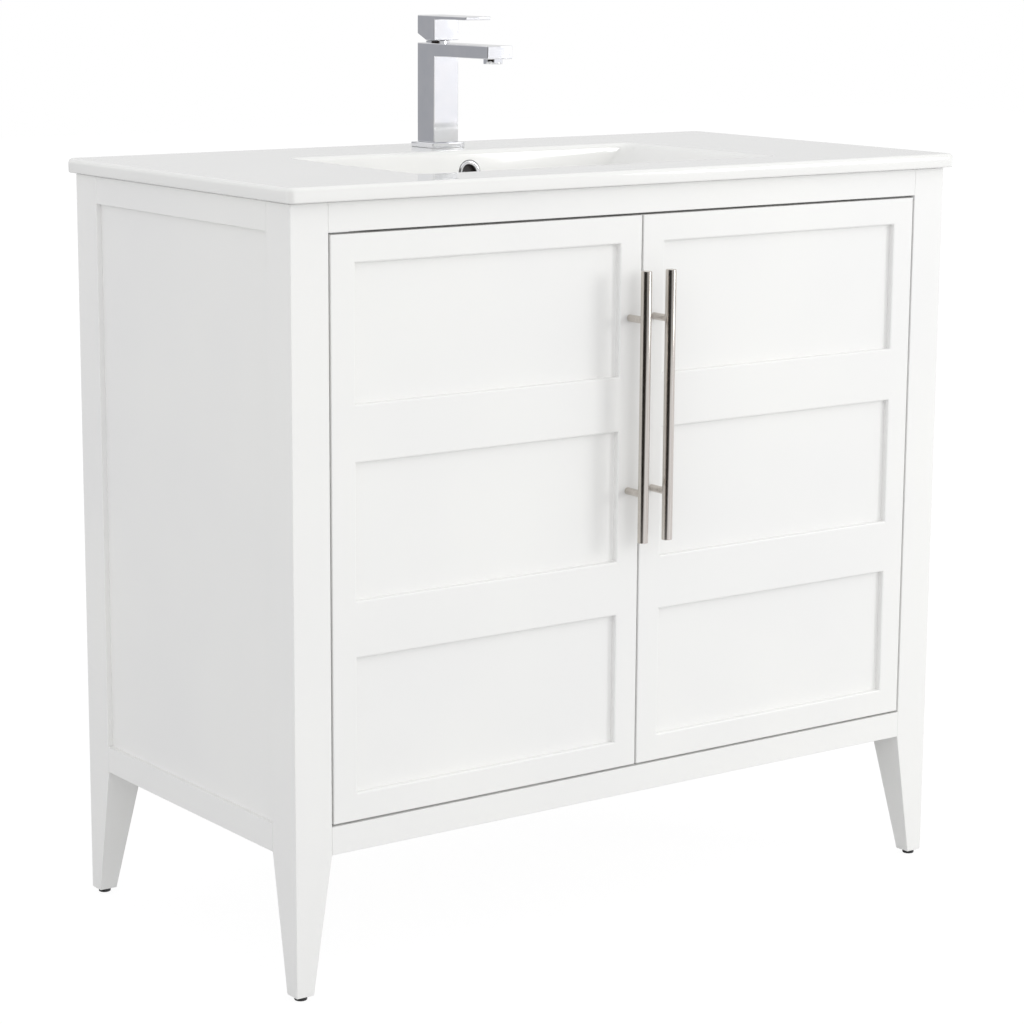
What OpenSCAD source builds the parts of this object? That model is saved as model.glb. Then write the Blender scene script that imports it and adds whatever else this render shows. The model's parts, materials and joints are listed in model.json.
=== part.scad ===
// Bathroom vanity cabinet with an inset basin top, a square mixer tap and two inset doors.
// X runs across the front, Y from front to back, Z up; the glides stand on Z = 0.

/* [Cabinet] */
// Width over the posts
body_w = 900; // [720:10:1200]
// Depth over the posts
body_d = 455; // [440:5:600]
// Height from the foot of the legs to the top of the posts
body_h = 835; // [760:5:900]
// Height of the open space between the legs
leg_h = 150; // [80:5:200]
// Height of the apron, the toe rail and the side rails
rail_h = 30.5; // [25:0.5:60]
// Thickness of the apron, the toe rail, the side rails and the back top rail
frame_t = 22; // [20.5:0.5:26]
// Width of a post, seen from the front
post_w = 45; // [36:1:70]
// Depth of a post, seen from the side
post_d = 46.5; // [38:0.5:70]
// Width of a leg at its foot
foot_w = 21.3; // [16:0.1:36]
// Depth of a leg at its foot
foot_d = 19.9; // [16:0.1:36]
// Step from the face of the side frame back to the side panel
side_recess = 6; // [3:0.5:8]
// Thickness of a side panel
side_panel_t = 12; // [6:1:12]
// Thickness of the floor board
floor_t = 15; // [12:1:20]
// Height of the back top rail
back_top_h = 80; // [60:5:120]
// Height of the back bottom rail
back_foot_h = 60; // [40:5:80]
// Thickness of the back bottom rail
back_foot_t = 18; // [15:1:22]
// Distance between the wall screws
wall_screw_pitch = 660; // [400:10:800]
// Diameter of a wall screw hole
wall_screw_d = 6; // [4:0.5:8]

/* [Joinery] */
// Depth of the grooves that hold the panels
groove_depth = 8; // [5:0.5:10]
// Free room behind a panel's edge in its groove
groove_slack = 1; // [0.5:0.5:2]
// Leg length of the triangular corner blocks
block_leg = 60; // [40:5:80]
// Thickness of the corner blocks
block_t = 18; // [12:1:22]
// Drop of the corner blocks below the top of the posts
block_drop = 2; // [0:1:4]
// Width of the cleats under the floor board
cleat_w = 16; // [12:1:25]
// Depth of the hinge cleats behind the front posts
hinge_cleat_d = 34; // [30:1:60]
// Thickness of the door stop strip
stop_t = 16; // [10:1:22]
// Height of the door stop strip
stop_h = 22; // [14:1:26]
// Reach of the door stop strip below the apron
stop_reach = 12; // [9:1:16]

/* [Glides] */
// Diameter of a glide
glide_d = 14; // [10:1:18]
// Height of a glide
glide_h = 5; // [3:0.5:8]
// Diameter of a glide's nail
nail_d = 3; // [2:0.5:4]
// Length of a glide's nail inside the leg
nail_l = 14; // [10:1:20]

/* [Doors] */
// Thickness of a door
door_t = 20; // [18:0.5:24]
// Gap round each door
door_gap = 2.5; // [2:0.1:3.5]
// Width of a door stile
stile_w = 29.5; // [24:0.5:60]
// Height of the top and bottom rails of a door
end_rail_h = 30; // [24:0.5:60]
// Height of the two middle rails of a door
mid_rail_h = 61; // [54:0.5:90]
// Number of panels in a door
panel_count = 3; // [3:1:3]
// Step from the face of a door back to its panels
door_recess = 6.5; // [3:0.5:8]
// Thickness of a door panel
door_panel_t = 9; // [6:1:10]
// Greatest opening angle of a door
door_open = 95; // [90:1:100]

/* [Handles] */
// Diameter of a handle bar
bar_d = 12; // [10:0.5:16]
// Length of a handle bar
bar_l = 300; // [240:5:400]
// Distance between the standoffs of a handle
standoff_pitch = 192; // [128:32:256]
// Diameter of a standoff
standoff_d = 8; // [7:0.5:10]
// Distance from the door's face to the axis of the bar
bar_reach = 28.5; // [24:0.5:40]
// Distance from the door's free edge to the bar
handle_in = 15.75; // [12:0.25:30]
// Height of the handle's middle above the door's middle
handle_up = 102; // [0:2:140]
// Depth that a standoff enters its bar
standoff_seat = 3; // [2:0.5:4]
// Diameter of a handle screw
handle_screw_d = 4; // [4:1:5]

/* [Hinges] */
// Diameter of a hinge cup
cup_d = 35; // [35:1:40]
// Wall of a hinge cup
cup_wall = 1; // [0.8:0.1:1.5]
// Thickness of the door left in front of a hinge cup
cup_skin = 4.5; // [3:0.5:6]
// Diameter of a hinge pin
pin_d = 4; // [3:0.5:4]
// Diameter of the knuckle round a hinge pin
knuckle_d = 8; // [7:0.5:8]
// Thickness of a hinge arm
arm_t = 4; // [3:0.5:5]
// Height of a hinge arm
arm_h = 12; // [8:1:14]
// Height of a hinge arm's leaf on the post
leaf_h = 50; // [40:2:58]
// Thickness of a hinge leaf or cup flange
leaf_t = 1.5; // [1:0.1:2]
// Radial clearance between a pin and its bore
run_fit = 0.05; // [0.02:0.01:0.1]
// Distance that the swinging edge of a door keeps from the post
swing_clear = 0.5; // [0.3:0.1:1]

/* [Basin top] */
// Overhang of the top in front of the cabinet
top_front = 12; // [5:0.5:25]
// Overhang of the top behind the cabinet
top_back = 10; // [0:0.5:20]
// Overhang of the top at each side
top_side = 7.5; // [3:0.5:20]
// Thickness of the top's slab
top_t = 16; // [14:0.5:25]
// Corner radius of the top, seen from above
top_r = 8; // [4:1:20]
// Thickness of the bead of sealant under the top
seam_t = 1.2; // [0.6:0.1:2]
// Inset of the sealant from the face of the cabinet
seam_in = 3; // [2:0.5:6]
// Width of the sealant
seam_w = 10; // [6:1:14]
// Width of the bowl's mouth
bowl_w = 493; // [420:5:520]
// Depth of the bowl's mouth, front to back
bowl_d = 266; // [230:2:280]
// Width of the deck in front of the bowl
bowl_front = 79; // [70:1:90]
// Depth of water space in the bowl
bowl_deep = 105; // [90:5:130]
// Lean of each side wall of the bowl
bowl_lean_side = 95; // [40:5:100]
// Lean of the front wall of the bowl
bowl_lean_front = 22; // [5:1:40]
// Lean of the back wall of the bowl
bowl_lean_back = 8; // [4:1:20]
// Thickness of the bowl's walls
bowl_wall = 9; // [7:0.5:12]

/* [Overflow and waste] */
// Drop of the overflow's centre below the deck
overflow_drop = 27; // [24:1:40]
// Outer diameter of the overflow ring
overflow_d = 30; // [26:1:34]
// Inner diameter of the overflow ring
overflow_bore = 23; // [18:1:25]
// Thickness of the overflow ring's rim
overflow_rim = 1.8; // [1:0.2:3]
// Outer diameter of the waste flange
waste_d = 66; // [60:1:70]
// Thickness of the waste flange
waste_rim = 3; // [2:0.5:4]
// Outer diameter of the waste tube
waste_tube_d = 44; // [42:1:46]
// Wall of the waste tube
waste_wall = 3; // [2:0.5:4]
// Length of the waste tube below the flange
waste_tube_l = 62; // [56:1:80]
// Outer diameter of the tailpiece
tail_d = 32; // [30:1:36]
// Free length of the tailpiece
tail_l = 48; // [30:1:90]
// Diameter of the stopper
stopper_d = 60; // [52:1:60]
// Diameter of the stopper's stem
stem_d = 8; // [6:0.5:10]
// Travel of the stopper
stopper_travel = 8; // [5:0.5:10]

/* [Tap] */
// Width and depth of the column
tap_w = 35; // [32:0.5:44]
// Height of the column above the deck
tap_h = 122.6; // [90:0.2:160]
// Thickness of the spout
spout_t = 15; // [12:0.5:20]
// Reach of the spout in front of the column
spout_l = 108.5; // [90:0.5:140]
// Side of the square base plate
plate_w = 46; // [44:1:60]
// Thickness of the base plate
plate_t = 6; // [3:0.5:8]
// Distance from the top's back edge to the middle of the tap
tap_in = 71; // [60:1:80]
// Gap between the column and the lever block
lever_gap = 3.2; // [3:0.1:5]
// Height of the lever block with its plate
lever_h = 29; // [24:0.5:36]
// Thickness of the lever plate
lever_t = 4; // [3:0.5:5]
// Reach of the lever plate in front of the block
lever_l = 65; // [40:1:80]
// Height of the slanted cut under the back of the lever block
lever_cut = 7.5; // [7:0.5:10]
// Greatest lift of the lever
lever_lift = 22; // [10:1:22]
// Diameter of the cartridge
cartridge_d = 27; // [24:1:28]
// Diameter of the turning spindle
spindle_d = 18; // [16:0.5:19]
// Diameter of the shank under the column
shank_d = 26; // [22:1:28]
// Diameter of the tap hole in the top
tap_hole_d = 35; // [32:1:38]
// Diameter of the round aerator
aerator_d = 22.5; // [18:0.5:24]
// Height of the aerator below the spout
aerator_h = 6; // [3:0.5:8]
// Distance from the spout's tip to the aerator
aerator_in = 3; // [3:0.5:14]
// Diameter of a hose inlet under the shank
inlet_d = 9; // [8:0.5:10]
// Depth of a hose inlet
inlet_l = 14; // [10:1:20]

/* [Hidden] */
$fn = 72;
EPS = 0.01;
THROUGH = 400;

// Colours
LACQUER = "white";
CHINA = "ghostwhite";
CHROME = "silver";
BRUSHED = "darkgray";
STEEL = "lightslategray";
BRASS = "goldenrod";
BLACK = "dimgray";

// Levels above the ground
z_leg = glide_h;
z_rail = z_leg + leg_h;
z_floor = z_rail + rail_h;
z_top = z_leg + body_h;
z_apron = z_top - rail_h;
z_door = z_floor + door_gap;
door_h = z_apron - door_gap - z_door;
z_slab = z_top + seam_t;
z_deck = z_slab + top_t;
z_bowl = z_deck - bowl_deep;

// Places from front to back: the object's middle is Y = 0 and the posts' face is at y_face
handle_reach = bar_reach + bar_d / 2;
y_face = (handle_reach - body_d - top_back) / 2;
post_in = body_w / 2 - post_w;
frame_in = body_w / 2 - frame_t;

// Doors, measured from the outer front corner of each door
mid_gap = door_gap / 2;
door_w = post_in - door_gap - mid_gap;
door_edge = post_in - door_gap;
door_mid = z_door + door_h / 2;
panel_w = door_w - 2 * stile_w;
panel_h = (door_h - 2 * end_rail_h - (panel_count - 1) * mid_rail_h) / panel_count;
panel_pitch = panel_h + mid_rail_h;
handle_z = door_mid + handle_up;
hinge_z = [for (i = [1:panel_count - 1]) z_door + end_rail_h + i * panel_pitch - mid_rail_h / 2];

// Hinges: the pin lies in the middle of the door's thickness, far enough from the edge for the
// front corner to clear the post as it turns in
pin_y = door_t / 2;
pin_x = (pin_y * pin_y - pow(door_gap - swing_clear, 2)) / (2 * (door_gap - swing_clear));
edge_sweep = sqrt(pin_x * pin_x + pin_y * pin_y);
arm_clear = 2;
arm_x = pin_x + door_t - pin_y + pin_x * sin(door_open - 90) + arm_clear;
arm_y = pin_y + edge_sweep + arm_clear;
cup_room = 0.9;
cup_inner = cup_d / 2 - cup_wall;
cup_x = arm_x + arm_t + cup_room - sqrt(cup_inner * cup_inner - arm_h * arm_h / 4);
cup_depth = door_t - cup_skin;
small_screw_d = 3.5;
small_head_d = 7;
small_head_t = 1.8;
small_screw_l = 12;
pilot_slack = 1;
flange_web = 0.75;
flange_screw = cup_d / 2 + flange_web + small_screw_d / 2;
flange_w = 2 * flange_screw + small_head_d + 1;
flange_h = 14;

// Leaf of a hinge arm: it crosses the joint between the post and the cleat, and its screws
// go into the cleat
leaf_in = 2;
leaf_start = arm_y - leaf_in;
leaf_screw_y = post_d + small_head_d;
leaf_end = leaf_screw_y + small_head_d;
leaf_screw = 17;

// Door stop
stop_clear = 4;
stop_half = door_edge - pin_x - edge_sweep - stop_clear;
bumper_d = 8;
bumper_gap = 0.3;
bumper_t = frame_t - door_t - bumper_gap;
bumper_from_middle = 38;
bumper_from_end = 30;
bumper_x = [bumper_from_middle, stop_half - bumper_from_end];

// Handle screws
screw_head_d = 8;
screw_head_t = 2.5;
screw_grip = 14;
screw_hole_slack = 1;

// Basin top
top_w = body_w + 2 * top_side;
top_d = body_d + top_front + top_back;
bowl_y = -top_front + bowl_front;
bowl_end = bowl_y + bowl_d;
bowl_low_w = bowl_w - 2 * bowl_lean_side;
bowl_low_front = bowl_y + bowl_lean_front;
bowl_low_back = bowl_end - bowl_lean_back;
waste_back = 20;
waste_y = (bowl_low_front + bowl_low_back) / 2 + waste_back;
waste_recess = waste_rim + 0.5;
washer_t = 3;
nut_t = 10;
nut_d = 60;
boss_rim = 4;
z_waste = z_bowl - waste_recess;
z_under = z_bowl - bowl_wall - waste_recess;
channel_w = 40;
channel_d = 9;
channel_wall = 6;
channel_head = 3;
z_clamp = z_under - channel_d - channel_wall;
overflow_z = z_deck - overflow_drop;
overflow_lean = atan(bowl_lean_back / bowl_deep);
overflow_wall = 1;
duct_top = overflow_z + overflow_bore / 2 + channel_head;
z_lip = duct_top + channel_wall;

// Half width, front and back of the water space at a level
function side_at(z) = bowl_low_w / 2 + bowl_lean_side * (z - z_bowl) / bowl_deep;
function front_at(z) = bowl_low_front - bowl_lean_front * (z - z_bowl) / bowl_deep;
function back_at(z) = bowl_low_back + bowl_lean_back * (z - z_bowl) / bowl_deep;
overflow_y = back_at(overflow_z);
slot_h = 10;

// Waste
guide_t = 5;
guide_drop = 30;
guide_boss_d = 16;
guide_arm_w = 5;
stopper_t = 4;
seat_gap = 0.3;
stem_tail = 6;
tail_collar_l = 12;
tail_wall = 2;

// Tap
tap_y = body_d + top_back - tap_in;
z_column = z_deck + tap_h;
tap_front = tap_y - tap_w / 2;
tap_rear = tap_y + tap_w / 2;
z_block = z_column + lever_gap;
collar_d = cartridge_d + 1;
collar_t = lever_gap - 1;
cartridge_l = 40;
spindle_l = 14;
pivot_drop = 4;
z_pivot = z_column - pivot_drop;
pivot_d = 3;
stem_w = 6;
stem_side_gap = 0.2;
stem_seat = 12;
waterway_d = 9;
waterway_bottom = 3;
shank_seat = 30;
shank_l = 60;
tap_washer_t = 3;
tap_nut_t = 9;
tap_nut_d = 46;
inlet_x = 6.3;
aerator_wall = 1.6;
aerator_rib = 1.2;
aerator_ribs = 3;
aerator_y = tap_front - spout_l + aerator_in + aerator_d / 2;

// ---------------------------------------------------------------- shared shapes

// Everything is drawn with Y = 0 at the posts' front face; this puts it in the frame
module cabinet_place() translate([0, y_face, 0]) children();

// A box from its lowest to its highest corner
module block(low, high) translate(low) cube(high - low);

// The same thing on the left (side -1) or on the right (side 1)
module at_side(side) mirror([side < 0 ? 1 : 0, 0, 0]) children();

module disc(d, h) cylinder(d = d, h = h);

// A rectangle with round corners
module round_rect(w, d, r) {
    square([w - 2 * r, d], center = true);
    square([w, d - 2 * r], center = true);
    for (sx = [-1, 1], sy = [-1, 1])
        translate([sx * (w / 2 - r), sy * (d / 2 - r)]) circle(r = r);
}

// ---------------------------------------------------------------- carcass

// A post whose two inner faces taper into the foot; its outer corner is at the origin
module post_shape() {
    intersection() {
        translate([0, post_d, 0]) rotate([90, 0, 0]) linear_extrude(post_d) polygon([
            [0, z_leg], [foot_w, z_leg], [post_w, z_rail], [post_w, z_top], [0, z_top]
        ]);
        rotate([90, 0, 90]) linear_extrude(post_w) polygon([
            [0, z_leg], [foot_d, z_leg], [post_d, z_rail], [post_d, z_top], [0, z_top]
        ]);
    }
}

// The post with its panel groove and the hole for the glide's nail
module post(side, back) {
    color(LACQUER) cabinet_place() at_side(side)
        translate([body_w / 2, back ? body_d : 0, 0])
            mirror([1, 0, 0]) mirror([0, back ? 1 : 0, 0])
                difference() {
                    post_shape();
                    block([side_recess, post_d - groove_depth, z_floor - groove_depth],
                          [side_recess + side_panel_t, post_d + EPS, z_apron + groove_depth]);
                    translate([foot_w / 2, foot_d / 2, z_leg - EPS]) disc(nail_d, nail_l + EPS);
                }
}

module side_rails(side) {
    color(LACQUER) cabinet_place() at_side(side) {
        difference() {
            block([frame_in, post_d, z_rail], [body_w / 2, body_d - post_d, z_floor]);
            block([body_w / 2 - side_recess - side_panel_t, 0, z_floor - groove_depth],
                  [body_w / 2 - side_recess, body_d, z_floor + EPS]);
        }
        difference() {
            block([frame_in, post_d, z_apron], [body_w / 2, body_d - post_d, z_top]);
            block([body_w / 2 - side_recess - side_panel_t, 0, z_apron - EPS],
                  [body_w / 2 - side_recess, body_d, z_apron + groove_depth]);
        }
    }
}

module side_panel(side) {
    tongue = groove_depth - groove_slack;
    color(LACQUER) cabinet_place() at_side(side)
        block([body_w / 2 - side_recess - side_panel_t, post_d - tongue, z_floor - tongue],
              [body_w / 2 - side_recess, body_d - post_d + tongue, z_apron + tongue]);
}

module front_apron() {
    color(LACQUER) cabinet_place()
        block([-post_in, 0, z_apron], [post_in, frame_t, z_top]);
}

module toe_rail() {
    color(LACQUER) cabinet_place()
        block([-post_in, 0, z_rail], [post_in, frame_t, z_floor]);
}

module back_top_rail() {
    color(LACQUER) cabinet_place() difference() {
        block([-post_in, body_d - frame_t, z_top - back_top_h], [post_in, body_d, z_top]);
        for (sx = [-1, 1])
            translate([sx * wall_screw_pitch / 2, body_d + EPS, z_top - back_top_h / 2])
                rotate([90, 0, 0]) disc(wall_screw_d, frame_t + 2 * EPS);
    }
}

module back_foot_rail() {
    color(LACQUER) cabinet_place()
        block([-post_in, body_d - back_foot_t, z_rail], [post_in, body_d, z_rail + back_foot_h]);
}

module floor_board() {
    color(LACQUER) cabinet_place() difference() {
        block([-frame_in, frame_t, z_floor - floor_t], [frame_in, body_d - back_foot_t, z_floor]);
        for (side = [-1, 1], y = [-THROUGH, body_d - post_d])
            at_side(side) block([post_in, y, 0], [body_w, y + THROUGH + (y < 0 ? post_d : 0), z_top]);
    }
}

module floor_cleats() {
    color(LACQUER) cabinet_place() for (side = [-1, 1]) at_side(side)
        block([frame_in - cleat_w, post_d, z_rail], [frame_in, body_d - post_d, z_floor - floor_t]);
}

module hinge_cleats() {
    color(LACQUER) cabinet_place() for (side = [-1, 1]) at_side(side) difference() {
        block([post_in, post_d, z_floor],
              [body_w / 2 - side_recess - side_panel_t, post_d + hinge_cleat_d, z_apron]);
        hinge_leaf_holes();
    }
}

// One gusset in each corner, round the inner edge of the post
module corner_blocks() {
    color(LACQUER) cabinet_place() for (side = [-1, 1], back = [0, 1]) at_side(side)
        translate([0, back * body_d, z_top - block_drop - block_t]) mirror([0, back, 0])
            linear_extrude(block_t) polygon([
                [post_in - block_leg, frame_t], [post_in, frame_t], [post_in, post_d],
                [frame_in, post_d], [frame_in, post_d + block_leg]
            ]);
}

module door_stop() {
    color(LACQUER) cabinet_place()
        block([-stop_half, frame_t, z_apron - stop_reach],
              [stop_half, frame_t + stop_t, z_apron - stop_reach + stop_h]);
}

module door_bumpers() {
    color(BLACK) cabinet_place() for (side = [-1, 1], x = bumper_x) at_side(side)
        translate([x, frame_t, z_apron - stop_reach / 2 - door_gap / 2])
            rotate([90, 0, 0]) disc(bumper_d, bumper_t);
}

module leg_glides() {
    color(BLACK) cabinet_place() for (side = [-1, 1], back = [0, 1]) at_side(side)
        translate([body_w / 2 - foot_w / 2, back ? body_d - foot_d / 2 : foot_d / 2, 0]) {
            disc(glide_d, glide_h);
            disc(nail_d, glide_h + nail_l - groove_slack);
        }
}

module top_sealant() {
    color(BLACK) cabinet_place() translate([0, body_d / 2, z_top]) linear_extrude(seam_t)
        difference() {
            square([body_w - 2 * seam_in, body_d - 2 * seam_in], center = true);
            square([body_w - 2 * seam_in - 2 * seam_w, body_d - 2 * seam_in - 2 * seam_w],
                   center = true);
        }
}

// ---------------------------------------------------------------- basin top

// The bowl grown outwards by a wall, made of two crossed extrusions; a wall of 0 gives the
// water space
module bowl(wall, z_low, z_high) {
    intersection() {
        translate([0, THROUGH, 0]) rotate([90, 0, 0]) linear_extrude(2 * THROUGH) polygon([
            [-side_at(z_low) - wall, z_low], [side_at(z_low) + wall, z_low],
            [side_at(z_high) + wall, z_high], [-side_at(z_high) - wall, z_high]
        ]);
        translate([-THROUGH, 0, 0]) rotate([90, 0, 90]) linear_extrude(2 * THROUGH) polygon([
            [front_at(z_low) - wall, z_low], [back_at(z_low) + wall, z_low],
            [back_at(z_high) + wall, z_high], [front_at(z_high) - wall, z_high]
        ]);
    }
}

// The overflow's channel: down behind the bowl and under its floor to the waste
module overflow_channel(wall) {
    grow = wall;
    block([-channel_w / 2 - grow, overflow_y - bowl_lean_back, z_under - channel_d - grow],
          [channel_w / 2 + grow, bowl_end + bowl_wall + channel_d + grow,
           duct_top + grow]);
    block([-channel_w / 2 - grow, waste_y, z_under - channel_d - grow],
          [channel_w / 2 + grow, bowl_end + bowl_wall + channel_d + grow, z_under + grow]);
}

// The place of the overflow: its Z points out of the leaning back wall
module overflow_place() {
    translate([0, overflow_y, overflow_z]) rotate([90 - overflow_lean, 0, 0]) children();
}

// The ceramic is one casting, drawn as its deck, its bowl and its duct. The deck's lip covers the
// upper ends of the other two
module basin_deck() {
    color(CHINA) cabinet_place() difference() {
        translate([0, body_d / 2 + (top_back - top_front) / 2, z_slab])
            linear_extrude(top_t) round_rect(top_w, top_d, top_r);
        bowl(bowl_wall, z_under, z_lip);
        overflow_channel(channel_wall);
        bowl(0, z_slab, z_deck + 1);
        translate([0, tap_y, z_slab - EPS]) disc(tap_hole_d, top_t + 2 * EPS);
    }
}

module basin_bowl() {
    color(CHINA) cabinet_place() difference() {
        bowl(bowl_wall, z_under, z_lip);
        bowl(0, z_bowl, z_lip + 1);
        overflow_place() translate([0, 0, -bowl_wall - channel_d])
            disc(overflow_bore, 2 * bowl_wall + channel_d);
        translate([0, waste_y, z_waste]) disc(waste_d, waste_recess + EPS);
        translate([0, waste_y, z_under - EPS]) disc(waste_tube_d, bowl_wall + 2 * EPS);
    }
}

// The duct ends in a boss round the waste, so that the overflow's water goes into the tube's slots
module overflow_duct() {
    color(CHINA) cabinet_place() difference() {
        union() {
            overflow_channel(channel_wall);
            translate([0, waste_y, z_clamp]) disc(nut_d + 2 * boss_rim, z_under - z_clamp);
        }
        overflow_channel(0);
        bowl(bowl_wall, z_under, z_lip + 1);
        translate([0, waste_y, z_clamp - EPS]) disc(waste_tube_d, z_under - z_clamp + 2 * EPS);
    }
}

module overflow_ring() {
    color(CHROME) cabinet_place() overflow_place() difference() {
        union() {
            disc(overflow_d, overflow_rim);
            translate([0, 0, -bowl_wall / 2]) disc(overflow_bore, bowl_wall / 2 + EPS);
        }
        translate([0, 0, -bowl_wall]) disc(overflow_bore - 2 * overflow_wall, 2 * bowl_wall);
    }
}

// Slots through which the overflow's channel drains into the waste tube
module waste_slots() {
    for (turn = [0, 90]) rotate([0, 0, turn])
        block([-waste_tube_d, -slot_h / 2, z_under - slot_h], [waste_tube_d, slot_h / 2, z_under]);
}

module waste_flange() {
    color(CHROME) cabinet_place() translate([0, waste_y, 0]) difference() {
        union() {
            translate([0, 0, z_waste]) disc(waste_d, waste_rim);
            translate([0, 0, z_waste - waste_tube_l]) disc(waste_tube_d, waste_tube_l + EPS);
        }
        translate([0, 0, z_waste - waste_tube_l - EPS])
            disc(waste_tube_d - 2 * waste_wall, waste_tube_l + waste_rim + 2 * EPS);
        waste_slots();
    }
}

module waste_washer() {
    color(BLACK) cabinet_place() translate([0, waste_y, z_clamp - washer_t]) difference() {
        disc(nut_d, washer_t);
        translate([0, 0, -EPS]) disc(waste_tube_d, washer_t + 2 * EPS);
    }
}

module waste_nut() {
    color(BRASS) cabinet_place() translate([0, waste_y, z_clamp - washer_t - nut_t]) difference() {
        cylinder(d = nut_d, h = nut_t, $fn = 6);
        translate([0, 0, -EPS]) disc(waste_tube_d, nut_t + 2 * EPS);
    }
}

// A boss on three arms that guides the stopper's stem inside the tube
module waste_guide() {
    color(BRASS) cabinet_place()
        translate([0, waste_y, z_waste - guide_drop]) difference() {
            intersection() {
                disc(waste_tube_d - 2 * waste_wall, guide_t);
                union() {
                    disc(guide_boss_d, guide_t);
                    for (turn = [30, 150, 270]) rotate([0, 0, turn])
                        block([0, -guide_arm_w / 2, 0], [waste_tube_d, guide_arm_w / 2, guide_t]);
                }
            }
            translate([0, 0, -EPS]) disc(stem_d + 2 * run_fit, guide_t + 2 * EPS);
        }
}

module waste_tailpiece() {
    color(CHROME) cabinet_place() translate([0, waste_y, z_waste - waste_tube_l]) difference() {
        union() {
            translate([0, 0, -tail_collar_l]) disc(waste_tube_d, tail_collar_l);
            translate([0, 0, -tail_collar_l - tail_l]) disc(tail_d, tail_l + EPS);
        }
        translate([0, 0, -tail_collar_l - tail_l - EPS])
            disc(tail_d - 2 * tail_wall, tail_l + tail_collar_l + 2 * EPS);
    }
}

module waste_stopper() {
    stem_l = guide_drop + waste_rim + seat_gap + stem_tail;
    color(CHROME) cabinet_place() translate([0, waste_y, z_waste + waste_rim + seat_gap]) {
        disc(stopper_d, stopper_t);
        translate([0, 0, -stem_l]) disc(stem_d, stem_l + EPS);
    }
}

// ---------------------------------------------------------------- tap

module tap_plate() {
    color(CHROME) cabinet_place() translate([0, tap_y, z_deck]) difference() {
        linear_extrude(plate_t) square(plate_w, center = true);
        translate([0, 0, -EPS]) disc(shank_d, plate_t + 2 * EPS);
    }
}

module tap_body() {
    spout_tip = tap_front - spout_l;
    color(CHROME) cabinet_place() difference() {
        union() {
            block([-tap_w / 2, tap_front, z_deck + plate_t], [tap_w / 2, tap_rear, z_column]);
            block([-tap_w / 2, spout_tip, z_column - spout_t], [tap_w / 2, tap_front + EPS, z_column]);
        }
        translate([0, tap_y, z_column - cartridge_l]) disc(cartridge_d, cartridge_l + EPS);
        translate([0, tap_y, z_deck]) disc(shank_d, plate_t + shank_seat);
        translate([0, tap_y, z_deck + shank_seat])
            disc(waterway_d, tap_h - cartridge_l - shank_seat + EPS);
        translate([0, tap_y, z_column - spout_t + waterway_bottom + waterway_d / 2])
            rotate([90, 0, 0]) disc(waterway_d, tap_w / 2 + spout_l - aerator_in - aerator_wall);
        translate([0, aerator_y, z_column - spout_t - EPS])
            disc(aerator_d - 2 * aerator_wall, waterway_bottom + waterway_d / 2 + EPS);
    }
}

module tap_aerator() {
    inner_d = aerator_d - 2 * aerator_wall;
    rib_pitch = inner_d / (aerator_ribs + 1);
    color(CHROME) cabinet_place() translate([0, aerator_y, z_column - spout_t - aerator_h]) {
        difference() {
            disc(aerator_d, aerator_h);
            translate([0, 0, -EPS]) disc(inner_d, aerator_h + 2 * EPS);
        }
        intersection() {
            translate([0, 0, aerator_rib]) disc(inner_d + aerator_wall, aerator_h - 2 * aerator_rib);
            for (i = [1:aerator_ribs]) translate([i * rib_pitch - inner_d / 2, 0, 0])
                block([-aerator_rib / 2, -inner_d, 0], [aerator_rib / 2, inner_d, aerator_h]);
        }
    }
}

module tap_cartridge() {
    color(CHROME) cabinet_place() translate([0, tap_y, 0]) difference() {
        union() {
            translate([0, 0, z_column - cartridge_l]) disc(cartridge_d, cartridge_l);
            translate([0, 0, z_column]) disc(collar_d, collar_t);
        }
        translate([0, 0, z_column + collar_t - spindle_l - 1]) disc(spindle_d, spindle_l + 1 + EPS);
        translate([0, 0, z_column - cartridge_l - EPS]) disc(waterway_d, cartridge_l / 2);
    }
}

// The turning core of the cartridge, slotted from front to back for the lever's stem
module tap_spindle() {
    core_d = spindle_d - 2 * run_fit;
    slot_w = stem_w + 2 * stem_side_gap;
    z_core = z_column + collar_t - spindle_l;
    color(STEEL) cabinet_place() translate([0, tap_y, 0]) {
        difference() {
            translate([0, 0, z_core]) disc(core_d, spindle_l - 1);
            block([-slot_w / 2, -spindle_d, z_pivot - stem_w],
                  [slot_w / 2, spindle_d, z_column + lever_gap]);
        }
        translate([-slot_w / 2 - EPS, 0, z_pivot]) rotate([0, 90, 0]) disc(pivot_d, slot_w + 2 * EPS);
    }
}

module tap_lever_stem() {
    color(STEEL) cabinet_place() translate([0, tap_y, 0]) difference() {
        union() {
            block([-stem_w / 2, -stem_w / 2, z_pivot], [stem_w / 2, stem_w / 2, z_block + stem_seat]);
            translate([-stem_w / 2, 0, z_pivot]) rotate([0, 90, 0]) disc(stem_w, stem_w);
        }
        translate([-stem_w, 0, z_pivot]) rotate([0, 90, 0])
            disc(pivot_d + 2 * run_fit, 2 * stem_w);
    }
}

// Lever block with the slanted cut that lets it tip back, and the flat lever plate
module tap_lever() {
    color(CHROME) cabinet_place() difference() {
        translate([-tap_w / 2, 0, 0]) rotate([90, 0, 90]) linear_extrude(tap_w) polygon([
            [tap_front, z_block], [tap_y, z_block], [tap_rear, z_block + lever_cut],
            [tap_rear, z_block + lever_h], [tap_front - lever_l, z_block + lever_h],
            [tap_front - lever_l, z_block + lever_h - lever_t], [tap_front, z_block + lever_h - lever_t]
        ]);
        translate([0, tap_y, 0])
            block([-stem_w / 2, -stem_w / 2, z_block - EPS], [stem_w / 2, stem_w / 2, z_block + stem_seat]);
    }
}

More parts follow.
